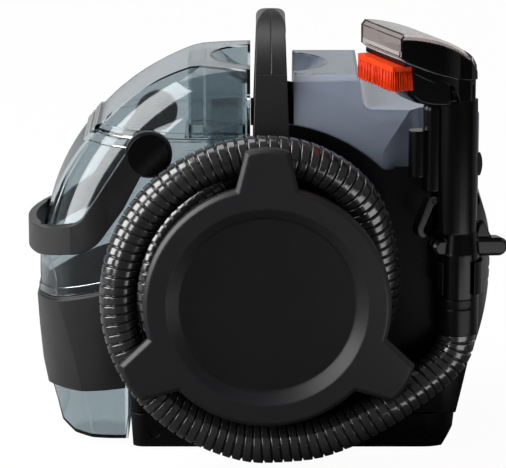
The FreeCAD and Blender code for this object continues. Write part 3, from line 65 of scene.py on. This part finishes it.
# Materials: the detail of noise and of grain, where in the noise a colour shifts, and a soft edge's samples
NOISE_DETAIL = 3.0
GRAIN_DETAIL = 2.0
TONE_SPAN = (0.35, 0.65)
EDGE_SAMPLES = 6

# Clear plastics, and the smoked tank, whose look changes over the edge right under its flat top: above it, a
# painted reflection of the sky makes it paler and clearer
CLEAR_IOR = 1.42
TANK_FLAT_Z = 0.2949
TANK_EDGE = 0.0015

# Hose cover: the radius of its recess, and half the width of the recess's soft edge
RECESS_R = 0.0695
RECESS_EDGE = 0.001

# Hose: its ribs, its route down from the tool's cuff, and the winding that follows, with angles in degrees
HOSE_D = 0.030
HOSE_PITCH = 0.0073
HOSE_SIDES = 40
RIB_STEPS = 14
RIB_BAND = 0.76
GROOVE = 0.0024
BAND_TAPER = 0.0004
RING_CENTRE = (0.0, 0.135)
RING_R = 0.1145
RING_R_DEEP = 0.0865
NEAR_Y = -0.1075
DEEP_Y = -0.0765
TAIL = [
    (0.14836, -0.07687, 0.1008),
    (0.14836, -0.07687, 0.095),
    (0.1465, -0.0777, 0.088),
    (0.1428, -0.0794, 0.0815),
    (0.1372, -0.0820, 0.0753),
    (0.1305, -0.0854, 0.0698),
    (0.1225, -0.0893, 0.0646),
    (0.110, -0.0955, 0.0565),
    (0.088, -0.103, 0.043),
    (0.045, NEAR_Y, 0.0225),
    (0.014, NEAR_Y, 0.0188),
]
RING_FROM = 260.0
RING_TO = -258.0
RING_STEP = 30.0
SPIRAL_FROM = 75.0
LINE_STEPS = 24

# Tool, which stands turned about its own column. Its pieces are placed ahead of the column and beside it
TOOL_AT = (0.141, -0.080)
TOOL_TURN = math.radians(203.0)

# Nozzle: its window's plan, near and rear, its rim and its top. An arc is three points and its steps
CHEEK_ARC = ((0.0592, 0.0352), (0.030, 0.0323), (0.004, 0.022), 14)
CHEEK_BEND = (-0.008, 0.0185)
CHEEK_REAR = ((-0.0145, 0.014), (-0.019, 0.0), (-0.0145, -0.014), 8)
RIM_LINE = ((0.060, 0.3295), (0.054, 0.3248), (0.031, 0.3153), (0.004, 0.3065), (-0.019, 0.303))
TOP_FRONT = ((0.057, 0.3472), (0.027, 0.341), (0.0, 0.3284), 12)
TOP_REAR = ((0.0, 0.3284), (-0.0125, 0.318), (-0.018, 0.305), 8)

# Nozzle's black cheek: the clear band above it, its least height, its wall, its gap, and what it goes round
TOP_BAND = 0.0042
CHEEK_LEAST = 0.001
CHEEK_WALL = 0.0007
CHEEK_GAP = 0.00005
CHEEK_INSIDE = 0.02

# Nozzle's throat: its side outline, its half width, and its size at shares of that on the way out
THROAT = (
    (0.006, 0.2885),
    (0.009, 0.2845),
    (0.024, 0.286),
    (0.037, 0.2895),
    (0.0445, 0.296),
    (0.0475, 0.305),
    (0.0478, 0.3165),
    (0.006, 0.306),
)
THROAT_HALF = 0.020
THROAT_ROUND = [(1.0, 0.78), (0.93, 0.9), (0.78, 0.98), (0.5, 1.0)]

# Brush: its tufts, the rings of filaments in each, how these vary, and a filament's size from root to tip
BRUSH_FRONT = 0.0485
BRUSH_MARGIN = 0.002
BRUSH_DEPTH = 0.016
BRUSH_HALF = 0.029
BRUSH_Z = 0.318
BRUSH_SEED = 11
BRISTLE = 0.0155
BRISTLE_ROOT = 0.0005
BRISTLE_RANGE = (0.94, 1.0)
TUFT_ROWS = 4
TUFT_COUNT = 12
TUFT_R = 0.0022
TUFT_RINGS = ((0.0, 1), (0.5, 5), (1.0, 9))
TUFT_JITTER = 0.15
TUFT_SPLAY = 0.0008
SPLAY_RANGE = (0.6, 1.3)
FILAMENT_R = 0.00055
FILAMENT_SIDES = 5
FILAMENT_FORM = ((0.0, 1.0), (0.5, 1.0), (0.93, 1.0), (1.0, 0.45))

# Rear cover: its back on the wall, which slants in below a kink, and its bulge, a little fuller from above
REAR_X = 0.1642
REAR_HIGH = 0.205
REAR_KINK = (REAR_X, 0.085)
REAR_LOW = (0.1589, 0.0625)
REAR_BULGE = (0.180, 0.1385)
REAR_CROWN = 0.001
REAR_MID_Y = 0.030
REAR_HALF = 0.058
REAR_STEPS = 32
REAR_SHARP = math.radians(25)

# What is cut out of it: its hollow, the clean tank's room and the louvres, by forms that reach beyond it
REAR_WALL = 0.0025
TANK_BACK = (0.168, 0.190)
TANK_PLAY = 0.0003
BEYOND = 0.02
LOUVRES = 9
LOUVRE_STEP = 0.009
LOUVRE_SPAN = 0.048
LOUVRE_SLOT = 0.0036

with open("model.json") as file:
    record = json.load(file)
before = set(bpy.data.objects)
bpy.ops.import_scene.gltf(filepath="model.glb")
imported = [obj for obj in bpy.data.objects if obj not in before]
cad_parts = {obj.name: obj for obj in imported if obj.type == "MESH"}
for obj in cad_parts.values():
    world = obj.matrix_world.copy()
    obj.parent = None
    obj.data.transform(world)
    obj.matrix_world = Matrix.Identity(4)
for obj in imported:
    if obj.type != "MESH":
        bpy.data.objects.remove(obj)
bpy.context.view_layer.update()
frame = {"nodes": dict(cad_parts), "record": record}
nodes = frame["nodes"]


# Objects and meshes


def add_object(name, data):
    thing = bpy.data.objects.new(name, data)
    bpy.context.scene.collection.objects.link(thing)
    return thing


def add_built(name, mesh):
    """The object of a mesh that was built up here, with its faces turned outward."""
    bmesh.ops.recalc_face_normals(mesh, faces=mesh.faces)
    data = bpy.data.meshes.new(name)
    mesh.to_mesh(data)
    mesh.free()
    return add_object(name, data)


def join_rings(mesh, rings):
    """Walls between rings of points, and a lid on the first and the last."""
    for a, b in zip(rings, rings[1:]):
        for k in range(len(a)):
            n = (k + 1) % len(a)
            mesh.faces.new((a[k], a[n], b[n], b[k]))
    mesh.faces.new(rings[0])
    mesh.faces.new(rings[-1])


def arc_points(a, b, c, count):
    """Points along the circle through three points of a plane, from the first to the last."""
    (ax, ay), (bx, by), (cx, cy) = a, b, c
    d = 2 * (ax * (by - cy) + bx * (cy - ay) + cx * (ay - by))
    sa, sb, sc = ax * ax + ay * ay, bx * bx + by * by, cx * cx + cy * cy
    ox = (sa * (by - cy) + sb * (cy - ay) + sc * (ay - by)) / d
    oy = (sa * (cx - bx) + sb * (ax - cx) + sc * (bx - ax)) / d
    first = math.atan2(ay - oy, ax - ox)
    turn = math.remainder(math.atan2(cy - oy, cx - ox) - first, 2 * math.pi)
    r = math.hypot(ax - ox, ay - oy)
    return [
        (ox + r * math.cos(first + turn * i / count), oy + r * math.sin(first + turn * i / count))
        for i in range(count + 1)
    ]


# Shader nodes


def seen_directly(tree):
    """One for rays from the eye or through glass, and nothing for all others."""
    path = tree.nodes.new("ShaderNodeLightPath")
    seen = tree.nodes.new("ShaderNodeMath")
    seen.operation = "MAXIMUM"
    tree.links.new(path.outputs["Is Camera Ray"], seen.inputs[0])
    tree.links.new(path.outputs["Is Transmission Ray"], seen.inputs[1])
    return seen.outputs[0]


def mix_shaders(tree, share, first, second, output):
    """Shows the second shader for a share of the rays, and the first for the rest."""
    mix = tree.nodes.new("ShaderNodeMixShader")
    tree.links.new(share, mix.inputs[0])
    tree.links.new(first.outputs[0], mix.inputs[1])
    tree.links.new(second.outputs[0], mix.inputs[2])
    tree.links.new(mix.outputs[0], tree.nodes[output].inputs[0])


class Finish:
    """A material on a Principled shader, with short calls to add nodes to it."""

    def __init__(self, name, colour, roughness, **sockets):
        self.mat = bpy.data.materials.new(name)
        self.mat.use_nodes = True
        self.tree = self.mat.node_tree
        self.shader = self.tree.nodes["Principled BSDF"]
        self.set(self.shader, "Base Color", (*colour, 1))
        self.set(self.shader, "Roughness", roughness)
        for key, value in sockets.items():
            self.set(self.shader, key.replace("_", " "), value)
        self.colour = colour

    def set(self, node, socket, value):
        node.inputs[socket].default_value = value

    def node(self, kind, **settings):
        node = self.tree.nodes.new(kind)
        for key, value in settings.items():
            if key in node.inputs:
                node.inputs[key].default_value = value
            else:
                setattr(node, key, value)
        return node

    def link(self, out, into):
        self.tree.links.new(out, into)

    def place(self):
        """A point's place on the object."""
        return self.node("ShaderNodeTexCoord").outputs["Object"]

    def along(self, axis):
        """How far along an axis a point lies."""
        split = self.node("ShaderNodeSeparateXYZ")
        self.link(self.place(), split.inputs[0])
        return split.outputs[axis]

    def noise(self, scale, detail=NOISE_DETAIL):
        noise = self.node("ShaderNodeTexNoise", Scale=scale, Detail=detail)
        self.link(self.place(), noise.inputs["Vector"])
        return noise.outputs["Fac"]

    def moved(self, value, source=(0.0, 1.0), to=(0.0, 1.0)):
        """A value moved from one range to another, and held inside it."""
        span = self.node("ShaderNodeMapRange")
        for end, before, after in zip(("Min", "Max"), source, to):
            self.set(span, "From " + end, before)
            self.set(span, "To " + end, after)
        self.link(value, span.inputs["Value"])
        return span.outputs["Result"]

    def between(self, value, low, high, span=(0.0, 1.0)):
        """A colour between two, as a value goes over a span."""
        ramp = self.node("ShaderNodeValToRGB")
        for stop, at, colour in zip(ramp.color_ramp.elements, span, (low, high)):
            stop.position = at
            stop.color = (*colour, 1)
        self.link(value, ramp.inputs["Fac"])
        return ramp.outputs["Color"]

    def shade(self, share):
        """The base colour, darker or lighter by a share."""
        return [min(1.0, c * share) for c in self.colour]

    def shift_colour(self, scale, low, high):
        """Varies the base colour between two shares of it."""
        tone = self.between(self.noise(scale), self.shade(low), self.shade(high), TONE_SPAN)
        self.link(tone, self.shader.inputs["Base Color"])

    def shift_roughness(self, scale, low, high):
        self.link(self.moved(self.noise(scale), to=(low, high)), self.shader.inputs["Roughness"])

    def bump(self, scale, height, strength, edge=0.0):
        """A fine grain, over edges that are rounded by edge in metres."""
        bump = self.node("ShaderNodeBump", Strength=strength, Distance=height)
        self.link(self.noise(scale, GRAIN_DETAIL), bump.inputs["Height"])
        if edge:
            soft = self.node("ShaderNodeBevel", Radius=edge, samples=EDGE_SAMPLES)
            self.link(soft.outputs["Normal"], bump.inputs["Normal"])
        self.link(bump.outputs["Normal"], self.shader.inputs["Normal"])


# Camera, light and backdrop


def aim(thing, target):
    thing.rotation_euler = (Vector(target) - thing.location).to_track_quat("-Z", "Y").to_euler()


def add_camera():
    camera = add_object("camera", bpy.data.cameras.new("camera"))
    camera.location = CAMERA_AT
    camera.data.lens = CAMERA_LENS
    camera.data.clip_end = CAMERA_REACH
    aim(camera, CAMERA_AIM)
    bpy.context.scene.camera = camera


def add_lamps():
    """The softboxes. The backdrop is seen only in gloss."""
    for name, (place, target, (wide, tall), power) in LAMPS.items():
        data = bpy.data.lights.new(name, "AREA")
        data.shape = "RECTANGLE"
        data.size = wide
        data.size_y = tall
        data.energy = power
        lamp = add_object(name, data)
        lamp.location = place
        aim(lamp, target)
    backdrop = bpy.data.objects["backdrop"]
    backdrop.visible_camera = False
    backdrop.visible_transmission = False


def floor_finish():
    """White to the eye and through clear plastic, with a little shadow. Gloss sees it dark in front."""
    f = Finish("floor", (FLOOR_BRIGHT,) * 3, FLOOR_ROUGHNESS)
    seen = seen_directly(f.tree)
    bright = f.node("ShaderNodeMath", operation="MAXIMUM")
    f.link(seen, bright.inputs[0])
    f.link(f.moved(f.along("Y"), SWEEP_Y, (0.0, SWEEP_SHARE)), bright.inputs[1])
    tone = f.between(bright.outputs[0], (FLOOR_DARK,) * 3, (FLOOR_BRIGHT,) * 3)
    f.link(tone, f.shader.inputs["Base Color"])
    share = f.node("ShaderNodeMath", operation="MULTIPLY")
    share.inputs[1].default_value = FLOOR_WHITE
    f.link(seen, share.inputs[0])
    white = f.node("ShaderNodeEmission", Color=(1, 1, 1, 1))
    mix_shaders(f.tree, share.outputs[0], f.shader, white, "Material Output")
    return f.mat


def add_sky():
    """A faint even light, white where it is seen."""
    world = bpy.data.worlds.new("world")
    bpy.context.scene.world = world
    world.use_nodes = True
    tree = world.node_tree
    faint = tree.nodes["Background"]
    faint.inputs["Color"].default_value = (*SKY_TINT, 1)
    faint.inputs["Strength"].default_value = SKY
    white = tree.nodes.new("ShaderNodeBackground")
    white.inputs["Color"].default_value = (1, 1, 1, 1)
    mix_shaders(tree, seen_directly(tree), faint, white, "World Output")


def add_floor():
    mesh = bpy.data.meshes.new("floor")
    corners = [(x * FLOOR_HALF, y * FLOOR_HALF, 0) for x, y in ((-1, -1), (1, -1), (1, 1), (-1, 1))]
    mesh.from_pydata(corners, [], [(0, 1, 2, 3)])
    mesh.materials.append(floor_finish())
    floor = add_object("floor", mesh)


# Materials


def satin_black():
    f = Finish("satin_black", (0.0095, 0.0088, 0.0095), 0.36, Specular_IOR_Level=0.5)
    f.shift_colour(40, 0.85, 1.2)
    f.shift_roughness(60, 0.30, 0.42)
    f.bump(900, 0.00008, 0.15, edge=0.0014)
    return f.mat


def cover_grey():
    """Dark grey, with the round recess in the middle darker still."""
    f = Finish("cover_grey", (0.013, 0.013, 0.0145), 0.42, Specular_IOR_Level=0.42)
    centred = f.node("ShaderNodeVectorMath", operation="SUBTRACT")
    centred.inputs[1].default_value = (RING_CENTRE[0], 0, RING_CENTRE[1])
    f.link(f.place(), centred.inputs[0])
    flat = f.node("ShaderNodeVectorMath", operation="MULTIPLY")
    flat.inputs[1].default_value = (1, 0, 1)
    f.link(centred.outputs[0], flat.inputs[0])
    reach = f.node("ShaderNodeVectorMath", operation="LENGTH")
    f.link(flat.outputs[0], reach.inputs[0])
    outside = f.moved(reach.outputs["Value"], (RECESS_R - RECESS_EDGE, RECESS_R + RECESS_EDGE))
    f.link(f.between(outside, f.shade(0.35), f.shade(1.0)), f.shader.inputs["Base Color"])
    f.shift_roughness(50, 0.36, 0.46)
    f.bump(900, 0.00008, 0.15, edge=0.0022)
    return f.mat


def gloss_black():
    f = Finish("gloss_black", (0.0018, 0.0016, 0.0018), 0.18, Specular_IOR_Level=0.25)
    f.shift_roughness(25, 0.14, 0.24)
    f.bump(120, 0.00006, 0.10, edge=0.0014)
    return f.mat


def body_black():
    f = Finish("body_black", (0.0014, 0.0014, 0.0016), 0.30, Specular_IOR_Level=0.2)
    f.shift_colour(40, 0.8, 1.25)
    f.shift_roughness(60, 0.24, 0.36)
    f.bump(900, 0.00006, 0.12, edge=0.0012)
    return f.mat


def soft_black():
    f = Finish("soft_black", (0.008, 0.008, 0.008), 0.7)
    f.shift_colour(80, 0.8, 1.25)
    f.bump(1500, 0.0002, 0.5, edge=0.0006)
    return f.mat


def metal(name, colour):
    f = Finish(name, colour, 0.4, Metallic=1.0)
    f.shift_roughness(90, 0.32, 0.5)
    f.bump(900, 0.0001, 0.25, edge=0.0004)
    return f.mat


def brush_red():
    f = Finish("brush_red", (0.78, 0.045, 0.001), 0.45, Specular_IOR_Level=0.2)
    f.shift_colour(220, 0.8, 1.12)
    f.bump(1800, 0.0001, 0.3)
    return f.mat


def clear(name, tint, roughness=0.04):
    f = Finish(name, tint, roughness, Transmission_Weight=1.0, IOR=CLEAR_IOR)
    f.shift_roughness(18, roughness * 0.6, roughness * 1.5)
    f.bump(14, 0.0004, 0.08)
    return f.mat


def smoked_tank():
    """Smoky plastic, its tint also a painted sheen over its walls, clearer and paler in its flat top, a
    painted reflection of the sky.
    """
    # The walls' colour is the smoke's real tint and also a painted sheen, standing in for a soft reflection
    # of light from the front.
    smoke_tint_and_sheen, top_tint_and_sky_sheen = (0.37, 0.42, 0.51), (0.50, 0.55, 0.61)
    f = Finish("dark_clear", smoke_tint_and_sheen, 0.05, IOR=CLEAR_IOR)
    # Painted reflection of the sky: over the edge under the flat top the colour turns paler and more light
    # passes.
    above = f.moved(f.along("Z"), (TANK_FLAT_Z - TANK_EDGE, TANK_FLAT_Z))
    f.link(f.between(above, smoke_tint_and_sheen, top_tint_and_sky_sheen), f.shader.inputs["Base Color"])
    f.link(f.moved(above, to=(0.6, 0.95)), f.shader.inputs["Transmission Weight"])
    f.bump(14, 0.0004, 0.08)
    return f.mat


def hose_finish():
    f = Finish("hose", (0.018, 0.0175, 0.018), 0.2, Specular_IOR_Level=1.0)
    f.shift_colour(60, 0.7, 1.3)
    f.shift_roughness(90, 0.12, 0.24)
    f.bump(500, 0.0002, 0.25)
    return f.mat


def dress_nodes():
    """Gives each solid the material of its slot, and returns the materials by slot."""
    gloss, steel = gloss_black(), metal("metal", (0.25, 0.25, 0.26))
    looks = {
        "dark_plastic": body_black(),
        "black_gloss": gloss,
        "graphite_plastic": cover_grey(),
        "hose_plastic": gloss,
        "tank_clear": clear("tank_clear", (0.52, 0.58, 0.605)),
        "dark_clear": smoked_tank(),
        "window_clear": clear("window_clear", (0.56, 0.51, 0.50)),
        "float_white": clear("float_white", (0.70, 0.73, 0.74), 0.2),
        "soft_rubber": soft_black(),
        "steel": steel,
        "motor_metal": steel,
        "brush_red": brush_red(),
        "tube_clear": clear("tube_clear", (0.6, 0.62, 0.65)),
        "satin_black": satin_black(),
        "screw_black": metal("dark_metal", (0.02, 0.02, 0.021)),
    }
    for part in frame["record"]["subparts"]:
        mesh = nodes[part["node"]].data
        mesh.materials.clear()
        mesh.materials.append(looks[part["material_slot"]])
    return looks


# Hose


def hose_route():
    """The control points of the hose's line, the same as the solid's."""
    points = [Vector(p) for p in TAIL]
    angle = RING_FROM
    while angle > RING_TO:
        share = min(max((SPIRAL_FROM - angle) / SPIRAL_FROM, 0.0), 1.0)
        share = share * share * (3 - 2 * share)
        y = NEAR_Y + (DEEP_Y - NEAR_Y) * share
        r = RING_R + (RING_R_DEEP - RING_R) * share
        r = r / math.cos(math.radians(RING_STEP / 2))
        a = math.radians(angle)
        points.append(Vector((RING_CENTRE[0] + r * math.cos(a), y, RING_CENTRE[1] + r * math.sin(a))))
        angle -= RING_STEP
    return points


def line_of(points):
    """Points along the smooth line through a route, read from its spline."""
    data = bpy.data.curves.new("route", "CURVE")
    data.dimensions = "3D"
    data.resolution_u = LINE_STEPS
    spline = data.splines.new("NURBS")
    spline.points.add(len(points) - 1)
    for knot, p in zip(spline.points, points):
        knot.co = (*p, 1)
    spline.order_u = 3
    spline.use_endpoint_u = True
    route = add_object("route", data)
    bpy.context.view_layer.update()
    mesh = bpy.data.meshes.new_from_object(route)
    line = [v.co.copy() for v in mesh.vertices]
    bpy.data.meshes.remove(mesh)
    bpy.data.objects.remove(route)
    bpy.data.curves.remove(data)
    return line


def spaced(line, step):
    """The line's points at an even spacing, with its length."""
    out = [line[0].copy()]
    left = step
    total = 0.0
    for a, b in zip(line, line[1:]):
        run = (b - a).length
        total += run
        here = 0.0
        while run - here >= left:
            here += left
            out.append(a.lerp(b, here / run))
            left = step
        left -= run - here
    return out, total


def swept(name, line, radius_at):
    """A closed tube along a line whose radius follows radius_at(distance, angle)."""
    mesh = bpy.data.meshes.new(name)
    verts, faces = [], []
    ahead = (line[1] - line[0]).normalized()
    up = ahead.orthogonal().normalized()
    travelled = 0.0
    for i, p in enumerate(line):
        after = line[min(i + 1, len(line) - 1)]
        before = line[max(i - 1, 0)]
        new = (after - before).normalized()
        up = (ahead.rotation_difference(new) @ up).normalized()
        ahead = new
        across = ahead.cross(up)
        if i:
            travelled += (p - line[i - 1]).length
        for k in range(HOSE_SIDES):
            a = 2 * math.pi * k / HOSE_SIDES
            r = radius_at(travelled, a)
            verts.append(p + (up * math.cos(a) + across * math.sin(a)) * r)
    for i in range(len(line) - 1):
        low, high = i * HOSE_SIDES, (i + 1) * HOSE_SIDES
        for k in range(HOSE_SIDES):
            n = (k + 1) % HOSE_SIDES
            faces.append((low + k, low + n, high + n, high + k))
    faces.append(tuple(reversed(range(HOSE_SIDES))))
    last = (len(line) - 1) * HOSE_SIDES
    faces.append(tuple(range(last, last + HOSE_SIDES)))
    mesh.from_pydata([tuple(v) for v in verts], [], faces)
    mesh.shade_smooth()
    return add_object(name, mesh)


def make_hose():
    """The ribbed hose, from the tool's cuff once round the cover to the port."""
    line, length = spaced(line_of(hose_route()), HOSE_PITCH / RIB_STEPS)

    def radius(travelled, angle):
        """A broad band that narrows a little, then a thin groove, wound as a helix."""
        turn = (travelled / HOSE_PITCH - angle / (2 * math.pi)) % 1.0
        off = abs(turn - 0.5) * 2
        groove = max(0.0, (off - RIB_BAND) / (1 - RIB_BAND))
        return HOSE_D / 2 - GROOVE * math.sin(groove * math.pi / 2) - BAND_TAPER * turn

    hose = swept("hose_ribbed", line, radius)
    hose.data.materials.append(hose_finish())
    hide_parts("hose")
    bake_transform(hose)


# Nozzle


def at_tool(ahead, side, z):
    """The place of a point that is given ahead of the tool's column and beside it."""
    c, s = math.cos(TOOL_TURN), math.sin(TOOL_TURN)
    return Vector((TOOL_AT[0] + ahead * c - side * s, TOOL_AT[1] + ahead * s + side * c, z))


def on_tool(name, mesh, material):
    """A finished piece that moves with the tool."""
    piece = add_built(name, mesh)
    piece.data.materials.append(material)
    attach(piece, "tool")
    return piece


def height_on(line, x):
    """The height of a line of points at a place along it."""
    line = sorted(line)
    for (x0, z0), (x1, z1) in zip(line, line[1:]):
        if x <= x1:
            return z0 + (z1 - z0) * max(0.0, x - x0) / (x1 - x0)
    return line[-1][1]


def make_nozzle_cheek(material):
    """A thin black band on the window's near side and round its rear, under its clear top edge."""
    plan = arc_points(*CHEEK_ARC) + [CHEEK_BEND] + arc_points(*CHEEK_REAR)
    top = arc_points(*TOP_FRONT) + arc_points(*TOP_REAR)
    mesh = bmesh.new()
    rings = []
    for i, (x, y) in enumerate(plan):
        x0, y0 = plan[max(i - 1, 0)]
        x1, y1 = plan[min(i + 1, len(plan) - 1)]
        away = Vector((y0 - y1, x1 - x0)).normalized()
        away = away if away.dot(Vector((x - CHEEK_INSIDE, y))) > 0 else -away
        low = height_on(RIM_LINE, x)
        high = max(height_on(top, x) - TOP_BAND, low + CHEEK_LEAST)
        ring = []
        for out, z in ((CHEEK_GAP, low), (CHEEK_WALL, low), (CHEEK_WALL, high), (CHEEK_GAP, high)):
            ring.append(mesh.verts.new(at_tool(x + away.x * out, y + away.y * out, z)))
        rings.append(ring)
    join_rings(mesh, rings)
    on_tool("nozzle_cheek", mesh, material)


def make_throat(material):
    """The throat under the nozzle, rounded off towards its two sides."""
    middle = sum((Vector(point) for point in THROAT), Vector((0, 0))) / len(THROAT)
    mesh = bmesh.new()
    rings = []
    for side, size in THROAT_ROUND + [(-side, size) for side, size in reversed(THROAT_ROUND)]:
        ring = []
        for x, z in THROAT:
            spot = middle + (Vector((x, z)) - middle) * size
            ring.append(mesh.verts.new(at_tool(spot.x, side * THROAT_HALF, spot.y)))
        rings.append(ring)
    join_rings(mesh, rings)
    on_tool("nozzle_throat", mesh, material)


# Brush


def tuft_places():
    """Where each tuft is rooted, ahead of the tool's column and beside it."""
    row_step = (BRUSH_DEPTH - 2 * BRUSH_MARGIN) / (TUFT_ROWS - 1)
    side_step = 2 * BRUSH_HALF / (TUFT_COUNT - 1)
    for row in range(TUFT_ROWS):
        for i in range(TUFT_COUNT):
            yield BRUSH_FRONT + BRUSH_MARGIN + row * row_step, i * side_step - BRUSH_HALF


def add_filament(mesh, root, tip):
    """A thin rod with a rounded tip."""
    rings = []
    for share, size in FILAMENT_FORM:
        centre = root.lerp(tip, share)
        ring = []
        for k in range(FILAMENT_SIDES):
            a = 2 * math.pi * k / FILAMENT_SIDES
            ring.append(mesh.verts.new(centre + Vector((math.cos(a), math.sin(a), 0)) * FILAMENT_R * size))
        rings.append(ring)
    join_rings(mesh, rings)


def make_bristles(material):
    """Tufts of fine filaments that splay a little towards their tips."""
    rng = random.Random(BRUSH_SEED)
    mesh = bmesh.new()
    for ahead, side in tuft_places():
        for ring_r, count in TUFT_RINGS:
            for k in range(count):
                a = 2 * math.pi * (k + rng.uniform(-TUFT_JITTER, TUFT_JITTER)) / count
                dx, dy = ring_r * math.cos(a), ring_r * math.sin(a)
                root = at_tool(ahead + dx * TUFT_R, side + dy * TUFT_R, BRUSH_Z + BRISTLE_ROOT)
                spread = TUFT_R + TUFT_SPLAY * rng.uniform(*SPLAY_RANGE)
                length = BRISTLE * rng.uniform(*BRISTLE_RANGE)
                tip = at_tool(ahead + dx * spread, side + dy * spread, BRUSH_Z - length)
                add_filament(mesh, root, tip)
    tufts = on_tool("bristle_tufts", mesh, material)
    tufts.data.shade_smooth()
    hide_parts("bristles")


# Rear cover


def prism(points, along, low, high):
    """A closed straight form. Its outline lies in X and Z if it runs along Y, and in X and Y along Z."""
    mesh = bmesh.new()
    rings = []
    for reach in (low, high):
        rings.append([mesh.verts.new((x, reach, t) if along == "y" else (x, t, reach)) for x, t in points])
    join_rings(mesh, rings)
    return add_built("prism", mesh)


def combine(piece, other, operation):
    """Cuts another form out of a piece, or keeps what they share. The other form is used up."""
    cut = piece.modifiers.new("cut", "BOOLEAN")
    cut.operation = operation
    cut.solver = "EXACT"
    cut.object = other
    bpy.context.view_layer.update()
    mesh = bpy.data.meshes.new_from_object(piece.evaluated_get(bpy.context.evaluated_depsgraph_get()))
    piece.modifiers.clear()
    piece.data = mesh
    bpy.data.objects.remove(other)


def rear_form(inset):
    """What the bulge's outlines from the side and from above share. An inset gives its open-backed hollow."""
    high, low = REAR_HIGH - inset, REAR_LOW[1] + inset
    bulge, mid = REAR_BULGE[0] - inset, REAR_BULGE[1]
    side = arc_points((REAR_X, high), (bulge, mid), (REAR_LOW[0], low), REAR_STEPS)
    side += [(REAR_X - BEYOND, low), (REAR_X - BEYOND, high)] if inset else [REAR_KINK]
    near, far = REAR_MID_Y - REAR_HALF + inset, REAR_MID_Y + REAR_HALF - inset
    plan = arc_points((REAR_X, near), (bulge + REAR_CROWN, REAR_MID_Y), (REAR_X, far), REAR_STEPS)
    plan += [(REAR_X - 2 * BEYOND, far), (REAR_X - 2 * BEYOND, near)]
    form = prism(side, "y", REAR_MID_Y - 2 * REAR_HALF, REAR_MID_Y + 2 * REAR_HALF)
    combine(form, prism(plan, "z", REAR_LOW[1] - BEYOND, REAR_HIGH + BEYOND), "INTERSECT")
    return form


def slab(x, half, low, high):
    """A block from inside the wall out to x, as wide as twice half."""
    inner = REAR_X - BEYOND / 2
    corners = [(inner, low), (x, low), (x, high), (inner, high)]
    return prism(corners, "y", REAR_MID_Y - half, REAR_MID_Y + half)


def make_rear_cover(material):
    """The bulging cover on the rear wall, with room for the clean tank and a row of louvres."""
    cover, hollow = rear_form(0.0), rear_form(REAR_WALL)
    for form, play in ((cover, TANK_PLAY), (hollow, REAR_WALL)):
        room = slab(TANK_BACK[0] + play, 1.5 * REAR_HALF, TANK_BACK[1] - play, REAR_HIGH + BEYOND)
        combine(form, room, "DIFFERENCE")
    combine(cover, hollow, "DIFFERENCE")
    for i in range(LOUVRES):
        z = REAR_BULGE[1] + (i - (LOUVRES - 1) / 2) * LOUVRE_STEP
        slot = slab(REAR_BULGE[0] + BEYOND, LOUVRE_SPAN / 2, z - LOUVRE_SLOT / 2, z + LOUVRE_SLOT / 2)
        combine(cover, slot, "DIFFERENCE")
    cover.name = "rear_shell"
    cover.data.name = "rear_shell"
    cover.data.shade_smooth()
    cover.data.set_sharp_from_angle(angle=REAR_SHARP)
    cover.data.materials.clear()
    cover.data.materials.append(material)
    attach(cover, "base")
    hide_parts("rear_cover")


bpy.context.scene.view_settings.view_transform = "Standard"
add_camera()
add_sky()
add_floor()
add_lamps()
looks = dress_nodes()
make_hose()
make_nozzle_cheek(looks["black_gloss"])
make_throat(looks["black_gloss"])
make_bristles(looks["brush_red"])
make_rear_cover(looks["dark_plastic"])
